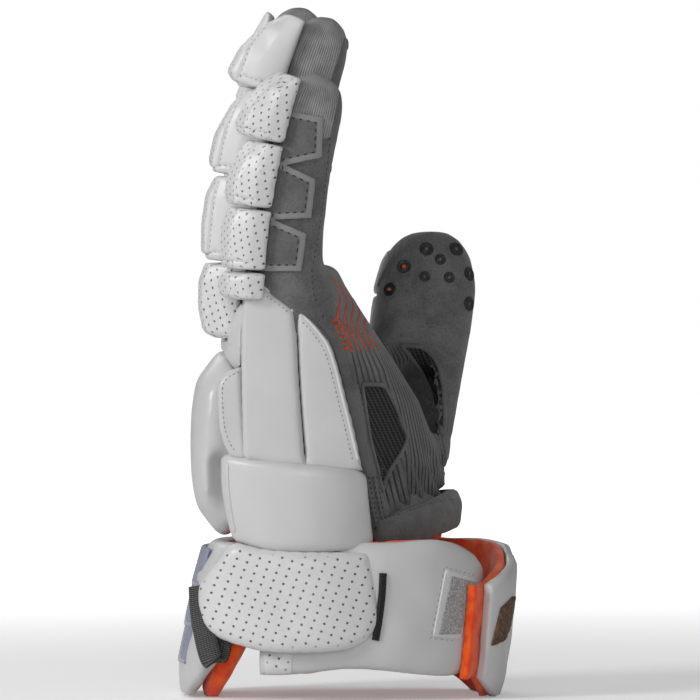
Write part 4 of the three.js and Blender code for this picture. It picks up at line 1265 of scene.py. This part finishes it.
# Panels on both sides of the hand: sizes in millimetres, outlines in the side view
panels = {
    "long_pad": dict(y=52.5, thickness=8, bow=1.3, middle=-38, rounding=2.6, count=120, outline=[
        (258.4, 281), (251, 285.5), (245.5, 296), (242.8, 330), (243, 380), (244.3, 446), (245.2, 454.5),
        (252, 458.5), (305.4, 468), (304.4, 452), (301.7, 418), (298.7, 374), (297.2, 340), (295.4, 322),
        (293.4, 309), (280, 298), (268, 288.5), (258.4, 282),
    ]),
    "front_pad": dict(y=52.5, thickness=7, bow=2.0, middle=-30, rounding=2.2, count=120, outline=[
        (298.5, 311), (296.8, 322), (298, 340), (299.6, 374), (302.4, 418), (305.4, 452), (306.4, 470),
        (357, 469), (359.4, 462), (352, 425.4), (344.6, 396), (337.2, 366.7), (330, 344.7), (322, 333),
        (311, 320), (298.5, 311),
    ]),
    "back_insert": dict(y=50.5, thickness=7, bow=1.6, middle=-32, rounding=2.2, count=90, outline=[
        (243.5, 366), (233, 368.9), (226, 374), (220.6, 381), (219.1, 391.6), (221.3, 425.3),
        (226.5, 444.4), (231.6, 453.2), (239, 457), (247.7, 456), (247, 440), (244.5, 400), (243.5, 366),
    ]),
}
for hand_side, way in sides.items():
    for part, panel in panels.items():
        piece = patchOn(
            f"{hand_side}_{part}_leather", bowedSheet(panel, hand_side),
            curved(seenLine(*panel["outline"]), panel["count"])[:-1], panel["thickness"],
            step=2.2, way=way, sink=8, rim=0.42, rounding=panel["rounding"],
        )
        finished(piece, whiteLeather, stands=[f"{hand_side}_{part}"])
        panel[hand_side] = shapeTree(piece)

# Piping sewn on the pads' edges, and the stitched grooves beside it
pipings = {
    "long_pad": [(257.6, 284.5), (262, 285.4), (270, 291), (283, 300.5), (291.3, 307.6), (293.6, 313)],
    "front_pad": [
        (299.4, 316), (302, 315), (310, 321.5), (321, 334.5), (328.6, 346.3), (335.8, 368), (343, 397),
        (350.4, 426), (358.5, 461),
    ],
}
grooves = {
    "long_pad": [(254, 289.5), (260, 290.6), (268, 296), (281, 305.5), (290, 312.6)],
    "front_pad": [
        (303, 321.5), (309, 327.5), (317, 337.5), (324, 349), (331, 369.5), (338, 398.3), (345.3, 427.3),
        (353.2, 461),
    ],
    "back_insert": [
        (240, 371), (230, 375.5), (224.4, 383), (223.5, 394), (225.6, 424), (231, 441.5), (238, 451),
    ],
}
for hand_side, way in sides.items():
    for part, places in pipings.items():
        laid = laidOn(panels[part][hand_side], curved(seenLine(*places), 60), 1.0, 0.1, way)
        cord = strands(f"{hand_side}_{part}_piping", [laid], 1.7, 1.5, sides=8, ends=0.4)
        finished(cord, paleLeather)
    runs = []
    for part, places in grooves.items():
        laid = laidOn(panels[part][hand_side], curved(seenLine(*places), 60), 0.4, 0.05, way)
        runs += stitchLines(laid, 1.3, 1.0)
    finished(strands(f"{hand_side}_panel_stitches", runs, 0.5, 0.4), duskThread)
print("side panels sewn")

# Perforated flaps of the cuff: the rows they wrap round, and their outline in the side view
flapRows = drawnRows([
    (-0.42, -0.34, 0.72, 0.56, -0.02, -0.02), (-0.36, -0.44, 0.85, 0.42, -0.02, -0.03),
    (-0.24, -0.51, 0.95, 0.35, 0, -0.035), (-0.04, -0.555, 0.97, 0.315, 0, -0.04),
    (0.14, -0.555, 0.95, 0.32, 0, -0.04), (0.27, -0.53, 0.93, 0.36, 0, -0.035),
    (0.36, -0.49, 0.8, 0.48, 0, -0.03),
], cuffZ)
flapOutline = curved(seenLine(
    (239.3, 540.5), (229, 547.8), (218.6, 563.8), (205.8, 581.3), (201.5, 595.7), (204, 611.6),
    (210.6, 625.6), (221.8, 634.6), (239.3, 641.1), (264.8, 647), (293.5, 648.3), (325.4, 647.5),
    (349.4, 644.3), (367.5, 634), (377, 616.4), (376, 595.7), (371.7, 568.6), (366, 552), (358, 549.8),
    (333.4, 549.4), (293.5, 548.6), (264.8, 546.6), (248.9, 543), (239.3, 540.5),
), 200)[:-1]
# Smooth bands round the wrist
wrapRows = drawnRows([
    (x, y, 0.4, -0.1)
    for x, y in ((-0.335, -0.28), (-0.26, -0.41), (-0.05, -0.5), (0.15, -0.485), (0.31, -0.37), (0.36, -0.3))
], palmZ)
wrapOutline = curved(seenLine(
    (229.5, 453.5), (230.5, 488.4), (234.5, 520), (237.5, 534), (243, 540.4), (260, 545.4),
    (281.5, 548.2), (309.4, 549), (340, 548.6), (360, 547), (366.5, 540), (365, 520), (362.5, 495.8),
    (361, 480), (356, 469.6), (331.4, 465), (305, 462), (272.7, 457.6), (250, 454.6), (234, 451.8),
    (229.5, 453.5),
), 200)[:-1]


# The same rows on the thumb side; the middle of the hand isn't the middle of the frame
def mirroredRows(rows):
    shift = -2 * glove["middleY"] * mm
    return [[x, shift - y, top, bottom, dx, -dy] for x, y, top, bottom, dx, dy in reversed(rows)]


# A panel that wraps round the cuff or the wrist, laid on a hidden wall
def blockPanel(name, rows, deep, outline, thickness, way, **shape):
    block = wallPiece("block", rows, deep, across=50, up=12, rim=0.9, crown=6)
    piece = patchOn(name, shapeTree(block), outline, thickness, step=2.2, way=way, **shape)
    bpy.data.objects.remove(block)
    return piece


for hand_side, way in sides.items():
    mirror = (lambda rows: rows) if hand_side == "outer" else mirroredRows
    wide = [[*row[:2], 76 * mm, 20 * mm, *row[4:]] for row in mirror(flapRows)]
    piece = blockPanel(
        f"{hand_side}_cuff_flap_leather", wide, 4.5, flapOutline, 5.2, way, sink=3.5, rim=0.25, rounding=5,
    )
    maskByEdge(piece, 2.2, 3.0)
    finished(piece, punchedLeather, stands=[f"{hand_side}_cuff_flap"])
    piece = blockPanel(
        f"{hand_side}_wrist_wrap_leather", mirror(wrapRows), 7, wrapOutline, 8, way,
        sink=5, rim=0.35, rounding=4,
    )
    rippled(piece, 26, 0.5, 4.0)
    finished(piece, whiteLeather, stands=[f"{hand_side}_wrist_wrap"])
    edge = curved(seenLine((228, 461), (229, 490), (233, 518), (236, 532)), 30)
    laid = laidOn(shapeTree(piece), edge, 1.2, -0.2, way)
    edging = strands(f"{hand_side}_wrap_edging", [laid], 2.2, 1.6, sides=8, ends=0.4)
    finished(edging, whiteLeather)

cuffBackRows = drawnRows([
    (-0.12, 0.47, 0.98, 0.5, -0.1, 0.02), (-0.25, 0.39, 0.99, 0.15, -0.14, 0.01),
    (-0.31, 0.22, 0.995, -0.02, -0.17, 0), (-0.325, 0, 0.995, -0.02, -0.17, 0),
    (-0.31, -0.22, 0.995, -0.02, -0.17, 0), (-0.25, -0.39, 0.99, 0.15, -0.14, -0.01),
    (-0.12, -0.47, 0.98, 0.5, -0.1, -0.02),
], cuffZ)
liningRows = offsetRows(cuffBackRows, -8 * mm)
backLining = wallPiece("cuff_back_tricot", liningRows, 7.7, across=80, up=20, rim=0.6, crown=4)
rippled(backLining, 9, 0.5)
finished(backLining, orangeTricot, stands=["cuff_back_lining"])

nearRows = drawnRows([
    (-0.18, -0.5, 0.6, 0.165), (0.02, -0.54, 0.83, 0.168), (0.22, -0.55, 0.98, 0.2), (0.4, -0.54, 1, 0.19),
    (0.57, -0.49, 1.01, 0.16), (0.7, -0.41, 0.99, 0.15), (0.79, -0.3, 0.92, 0.2), (0.83, -0.18, 0.83, 0.23),
], cuffZ)
farRows = drawnRows([
    (0.88, -0.36, 0.72, 0.13, -0.04), (0.95, -0.28, 0.78, 0.04, -0.06), (0.99, -0.12, 0.84, -0.02, -0.08),
    (0.99, 0.05, 0.9, -0.02, -0.08), (0.95, 0.25, 0.96, -0.02, -0.07), (0.79, 0.47, 0.97, 0.09, -0.03),
    (0.5, 0.56, 0.97, 0.18), (0.2, 0.57, 0.96, 0.22), (-0.1, 0.54, 0.93, 0.26),
], cuffZ)
# The far strap's lining shows past its end, by one more row
endRows = offsetRows(farRows, -5 * mm)
endRows.insert(0, [
    (0.8 * glove["handDepth"] - glove["middleX"]) * mm, (-0.43 * glove["handWidth"] - glove["middleY"]) * mm,
    *endRows[0][2:],
])
hemRows = drawnRows([
    (0.36, -0.4, 1.12, 0.93), (0.47, -0.32, 1.17, 0.955), (0.61, -0.13, 1.24, 1.01), (0.69, 0.06, 1.29, 1.04),
    (0.71, 0.23, 1.3, 1.05), (0.62, 0.39, 1.28, 1.06), (0.43, 0.46, 1.24, 1.04), (0.34, 0.47, 1.2, 1.02),
], cuffZ)
palmLiningRows = [
    [x, y, top - 8 * mm, bottom - 5 * mm, dx, dy]
    for x, y, top, bottom, dx, dy in offsetRows(hemRows, -6 * mm)
]
leatherWall = dict(material=whiteLeather, slot="white_leather", rim=0.5, crown=3.4)
liningWall = dict(material=orangeTricot, slot="orange_lining", rim=0.7, crown=5)
hemWall = dict(material=bindingSuede, slot="grey_suede", rim=0.4, crown=2)
# Walls of the straps, the hem and their linings: thickness and ripples (size, depth) in millimetres
liningRows = offsetRows(nearRows, -3 * mm)
walls = {
    "near_strap": dict(rows=nearRows, thickness=6, ripple=(16, 0.7), **leatherWall),
    "far_strap": dict(rows=farRows, thickness=6, ripple=(14, 0.9), **leatherWall),
    "near_strap_lining": dict(rows=liningRows, thickness=2.7, ripple=(8, 0.4), **liningWall),
    "far_strap_lining": dict(rows=endRows, thickness=4.7, ripple=(9, 0.7), **liningWall),
    "palm_hem": dict(rows=hemRows, thickness=6.5, ripple=(6, 0.5), **hemWall),
    "palm_lining": dict(rows=palmLiningRows, thickness=3, ripple=(8, 0.4), **liningWall),
}
for source, wall in walls.items():
    wall["piece"] = wallPiece(
        source + "_sewn", wall["rows"], wall["thickness"],
        across=130, up=26, rim=wall["rim"], crown=wall["crown"],
    )
    rippled(wall["piece"], *wall["ripple"], 2.0)
    finished(wall["piece"], wall["material"], stands=[source])

# The palm's gathered lower edge, from the palm down into the hem
gathered = {"inwards": 12, "above": 5, "below": 9, "wall": 2.2}
skirtRows = []  # x, y, top, bottom, dx, dy in metres
for high, low in zip(offsetRows(hemRows, -gathered["inwards"] * mm), offsetRows(hemRows, -1 * mm)):
    top, bottom = high[2] + gathered["above"] * mm, high[2] - gathered["below"] * mm
    skirtRows.append([high[0], high[1], top, bottom, low[0] - high[0], low[1] - high[1]])
skirt = wallPiece("palm_gathered_edge", skirtRows, gathered["wall"], across=150, up=14, rim=0.7, crown=6)
finished(rippled(skirt, 4.5, 0.9, 7.0), greySuede)

nearTree, farTree = shapeTree(walls["near_strap"]["piece"]), shapeTree(walls["far_strap"]["piece"])
trims = {
    "strap_end_punched": dict(
        tree=nearTree, material=punchedLeather, slot="white_leather", thickness=0.4, rounding=0.4,
        outline=[(263.5, 640), (293, 640), (292, 669.5), (266, 671)], punched=True,
    ),
    "strap_loop_patch_frame": dict(
        tree=nearTree, material=paleLeather, slot="white_leather", thickness=0.9, rounding=0.8,
        outline=[(444.5, 566.8), (474, 577.5), (459, 637), (431.9, 633.5)],
    ),
    "strap_loop_patch_pile": dict(
        tree=nearTree, material=greyLoop, slot="loop_tape", thickness=1.0, rounding=0.6, lift=0.5,
        outline=[(449.8, 574.3), (474, 581), (458, 632.4), (437.2, 632)], stands=["strap_loop_patch"],
    ),
    "strap_label_blank": dict(
        tree=farTree, material=brownLeather, slot="brown_leather", thickness=1.3, rounding=0.8,
        outline=[(500, 607), (513.2, 596), (514.6, 597), (509.3, 627.2), (503.7, 639.8), (490.2, 644.8)],
        stands=["strap_label"],
    ),
}
for name, trim in trims.items():
    piece = patchOn(
        name, trim["tree"], seenLine(*trim["outline"]), trim["thickness"],
        lift=trim.get("lift", 0), rounding=trim["rounding"], rim=0.5,
    )
    if trim.get("punched"):
        maskByEdge(piece, 1.2, 2.0)
    finished(piece, trim["material"], stands=trim.get("stands", ()))
# Elastic along the strap's edge, sewn down by two rows of stitches
elasticPlaces = [(382.5, 570), (381.5, 590), (379, 612), (375, 637)]
tapeLine = laidOn(nearTree, curved(seenLine(*elasticPlaces), 30), 1.0, 0.3)
elastic = strands("strap_edge_elastic", [tapeLine], 3.4, 1.6, sides=4, ends=1)
finished(elastic, elasticTape, stands=["strap_edge_tape"])
stitchPlaces = [(382.5, 571), (381.5, 590), (379, 612), (375, 636)]
tapeRuns = []
for shift in (-0.9, 0.9):
    row = curved(seenLine(*[(across + shift, down) for across, down in stitchPlaces]), 30)
    tapeRuns += stitchLines(laidOn(nearTree, row, 0.4, 1.2), 1.2, 0.7)
finished(strands("strap_edge_stitches", tapeRuns, 0.6, 0.5), blackThread)
framePlaces = seenLine((473, 574), (443.5, 564.5), (430, 635.5), (458, 639))
frameRuns = stitchLines(laidOn(nearTree, framePlaces, 0.4, 0.05), 1.6, 1.4)
finished(strands("strap_loop_stitches", frameRuns, 0.55, 0.4), greyThread)

# Ribbed webbing at the cuff's back corner: x, y, z as shares of the glove's sizes
webbingPlaces = [
    (-0.475, -0.44, 0.72), (-0.465, -0.48, 0.54), (-0.435, -0.53, 0.34), (-0.41, -0.53, 0.25),
    (-0.385, -0.51, 0.28), (-0.37, -0.49, 0.42),
]
webbingLine = []
for deep, wide, high in curved(webbingPlaces, 60):
    x, y = deep * glove["handDepth"] - glove["middleX"], wide * glove["handWidth"] - glove["middleY"]
    webbingLine.append(Vector((x, y, cuffZ(high))) * mm)
laid = []
for k, p in enumerate(webbingLine):
    way = (webbingLine[min(k + 1, 60)] - webbingLine[max(k - 1, 0)]).normalized()
    laid.append((p, way.cross(Vector((1, -0.4, 0.3))).normalized()))
webbing = strands("cuff_webbing_woven", [laid], 11, 1.8, sides=4, ends=1)
finished(webbing, cuffTape, stands=["cuff_webbing"])

# Plates hug the slope of the cuff's back: upper and lower edge (z, x) in millimetres
plateSizes = {"half": 30, "bow": 3.7, "thickness": 1.3}
plates = {
    "cuff_plate_low": ((39, -76), (16, -81)),
    "cuff_plate_middle": ((57, -73), (33.5, -78)),
    "cuff_plate_high": ((71, -69.4), (53, -74.4)),
}
for source, ((top, topX), (bottom, bottomX)) in plates.items():
    rows = []
    for t in (-1, -0.5, 0, 0.5, 1):
        x, y = topX + plateSizes["bow"] * t * t, -t * plateSizes["half"] - glove["middleY"]
        rows.append([x * mm, y * mm, top * mm, bottom * mm, (bottomX - topX) * mm, 0])
    piece = wallPiece(source + "_sheet", rows, plateSizes["thickness"], across=40, up=14, rim=0.8, crown=6)
    finished(piece, clearPvc, stands=[source])
print("cuff sewn")

dressHand()
hollowOut(handShell, "hand_body")
finished(handShell, handSuede, stands=hand["sources"])
for part, source in (("heel", "palm_mesh_heel"), ("thumb", "palm_mesh_thumb")):
    piece = patchOn(source + "_knit", handTree, windows[part], 0.3, rounding=0.6)
    finished(piece, windowMesh, stands=[source])
    border = facing(eased(laidOn(handTree, windows[part] + windows[part][:2], 1.2, 0.5), 4), 0.3)
    cord = strands(f"{part}_window_binding", border, 2.0, 1.5, sides=8, ends=0.5)
    finished(cord, bindingSuede)
patchOutline = seenLine(
    (281, 112), (292, 113), (322.7, 119), (321, 158), (286.5, 166), (315, 180), (310.6, 218), (274.5, 220),
    (306, 234), (301, 271), (255.7, 271), (253, 258), (256, 213), (264, 184), (272, 159), (277, 127),
)
fingerPatch = patchOn("little_finger_suede", handTree, patchOutline, 1.5, step=1.1, rim=0.6, rounding=0.9)
finished(fingerPatch, patchSuede, stands=["little_finger_patch"])
patchTree = shapeTree(fingerPatch)
darkRuns = stitchLines(stitchesRound(patchTree, patchOutline, 2.9), 2.2, 1.5)
finished(strands("finger_patch_stitches", darkRuns, 0.65, 0.5), blackThread)
patchEdge = seenLine(
    (279.5, 113), (275, 130), (269, 160), (260.5, 186), (253.5, 214), (250.5, 250), (253, 270),
)
binding = laidOn(patchTree, patchEdge, 1.0, 0.0)
finished(strands("finger_patch_binding", [binding], 3.6, 1.4, sides=8, ends=1), bindingSuede)
# The smooth strip beside the front pad
sideStrip = seenLine(
    (318, 322), (330, 338), (337.5, 362), (345, 394), (352, 424), (361, 463), (367, 478), (373, 476),
    (371, 464), (360.5, 420), (351, 381), (344, 352), (336, 330), (327, 316),
)
strip = patchOn("palm_side_strip", handTree, sideStrip, 0.9, rim=0.5, rounding=1.0)
finished(strip, bindingSuede)
# Seams of the hand: dark stitches in a fine groove
seamPlaces = {
    "palm": [(312, 269.5), (313, 288), (316, 300), (321.6, 311), (327.2, 323), (333, 335.7), (337.5, 348)],
    "strip": [(338.5, 345), (346, 372), (353.5, 400), (361, 432), (369, 468)],
    "window": [(357, 381), (364, 409), (371, 440), (377, 471)],
    "pinky": [(330, 139), (327, 170), (323.5, 200), (318, 240), (312.5, 268)],
    "ridge": [(424.4, 380), (435.9, 418), (442.2, 451.4), (448.6, 469.3), (454, 492)],
}
seamRuns, grooveRuns = [], []
for places in seamPlaces.values():
    laid = laidOn(handTree, curved(seenLine(*places), 40), 0.4, 0.05)
    grooveRuns.append(laid[::3])
    seamRuns += stitchLines(laid, 1.5, 1.3)
finished(strands("hand_seams", grooveRuns, 0.7, 0.25, ends=0.3), bindingSuede)
finished(strands("hand_seam_stitches", seamRuns, 0.6, 0.45), blackThread)
thumbRim = seenLine(
    (371.9, 311.8), (377, 291.4), (387.2, 268.5), (400, 250.6), (411.4, 241), (421.6, 236), (436, 233),
)
rimLine = laidOn(handTree, curved(thumbRim, 50), 1.0, 0.1)
finished(strands("thumb_rim_piping", [rimLine], 2.2, 1.5, sides=8, ends=0.3), bindingSuede)

# Two binding tapes run down the palm into the hem, each with a row of stitches along both edges
tapePlaces = [(365.7, 476), (368.5, 490), (373, 512), (377, 528), (379.4, 537)]
bindingTapes, tapeStitches = [], []
for shift in (0, 7.6):
    places = [(across + shift, down) for across, down in tapePlaces]
    bindingTapes.append(laidOn(handTree, curved(seenLine(*places), 30), 1.0, 0.3))
    for side in (-1.7, 1.7):
        line = curved(seenLine(*[(across + side, down) for across, down in places]), 30)
        tapeStitches += stitchLines(laidOn(handTree, line, 0.4, 0.9), 1.4, 1.0)
finished(strands("palm_binding_tapes", bindingTapes, 2.9, 1.3, sides=8, ends=0.6), bindingSuede)
hemTree = shapeTree(walls["palm_hem"]["piece"])
hemPlaces = seenLine((388, 516.5), (403, 512.6), (421, 506.4), (440, 502), (456, 501.4))
tapeStitches += stitchLines(laidOn(hemTree, curved(hemPlaces, 40), 0.4, 0.05), 1.5, 1.2)
finished(strands("palm_tape_stitches", tapeStitches, 0.55, 0.45), blackThread)


# Turned rings on a surface: places are (point, normal, radius in millimetres)
def rings(name, places, profile, sides=16):
    points, faces = [], []
    for p, n, radius in places:
        first = len(points)
        a = n.orthogonal().normalized()
        b = n.cross(a)
        for share, height in profile:
            for k in range(sides):
                turn = 2 * math.pi * k / sides
                around = a * math.cos(turn) + b * math.sin(turn)
                points.append(p + around * share * radius * mm + n * height * mm)
        for ring in range(len(profile) - 1):
            for k in range(sides):
                at, to = first + ring * sides + k, first + ring * sides + (k + 1) % sides
                faces.append((at, to, to + sides, at + sides))
        faces.append(tuple(first + k for k in range(sides)))
        faces.append(tuple(first + (len(profile) - 1) * sides + k for k in range(sides)))
    return newPiece(name, points, faces)


# Rubber grip eyelets: places in the side view and radii in millimetres
thumbEyelets = [
    (428, 249, 3.5), (458.5, 249, 3.7), (442, 259.5, 2.8), (405, 267, 3.4), (426, 277, 2.7), (451, 278, 2.8),
    (472, 274.5, 3.6), (390, 290, 3.4), (471.5, 305, 3.6),
]
eyelets = []
for across, down, radius in thumbEyelets:
    for p, n in laidOn(handTree, [seen(across, down), seen(across + 0.01, down)], 5):
        eyelets.append((p, n, radius))
for name, share in (("ring", 0.93), ("ring", 0.7), ("pinky", 0.6)):
    centre, _, front, _ = fingerFrame(fingers[name], share)
    p, n, _, _ = handTree.ray_cast(centre + front * 0.05, -front)
    eyelets.append((p, n, 2.8))
# Profile of an eyelet: shares of its radius and heights in millimetres
eyeletProfile = [
    (1, -0.6), (1, 0.25), (0.86, 0.45), (0.7, 0.1), (0.55, 0.1), (0.48, 0.5), (0.32, 0.45), (0.26, -0.1),
]
finished(rings("grip_eyelets", eyelets, eyeletProfile), blackRubber)
orangeSpots = [(p + n * 0.05 * mm, n, radius * 0.3) for p, n, radius in (eyelets[3], eyelets[7])]
spots = rings("eyelet_lining_spots", orangeSpots, [(1, -0.4), (0.9, 0.1)], sides=12)
finished(spots, orangeTricot)

# The print on the palm: an own pattern of waves and short bars
palmPrint = {"waves": 5, "wavePitch": 6.5, "bars": 6, "barShift": (2.5, 5.5), "width": 1.5, "height": 0.3}
printLines = []
for k in range(palmPrint["waves"]):
    shift = palmPrint["wavePitch"] * k
    printLines.append(laidOn(handTree, curved(seenLine(
        (333 + shift, 276 + shift * 1.1), (340 + shift, 296 + shift * 0.8), (338 + shift, 318 + shift * 0.3),
        (348 + shift * 0.9, 336 + shift * 0.1), (352 + shift * 1.1, 352 - shift * 0.1)), 40), 0.8, 0.05))
for k in range(palmPrint["bars"]):
    across, down = [step * k for step in palmPrint["barShift"]]
    bar = seenLine((331 + across, 322 + down), (338 + across, 318 + down))
    printLines.append(laidOn(handTree, bar, 0.8, 0.05))
printLines = [line for line in printLines if len(line) > 2]
printed = strands("palm_print", printLines, palmPrint["width"], palmPrint["height"], ends=0.8)
finished(printed, orangePrint)
print("hand dressed")
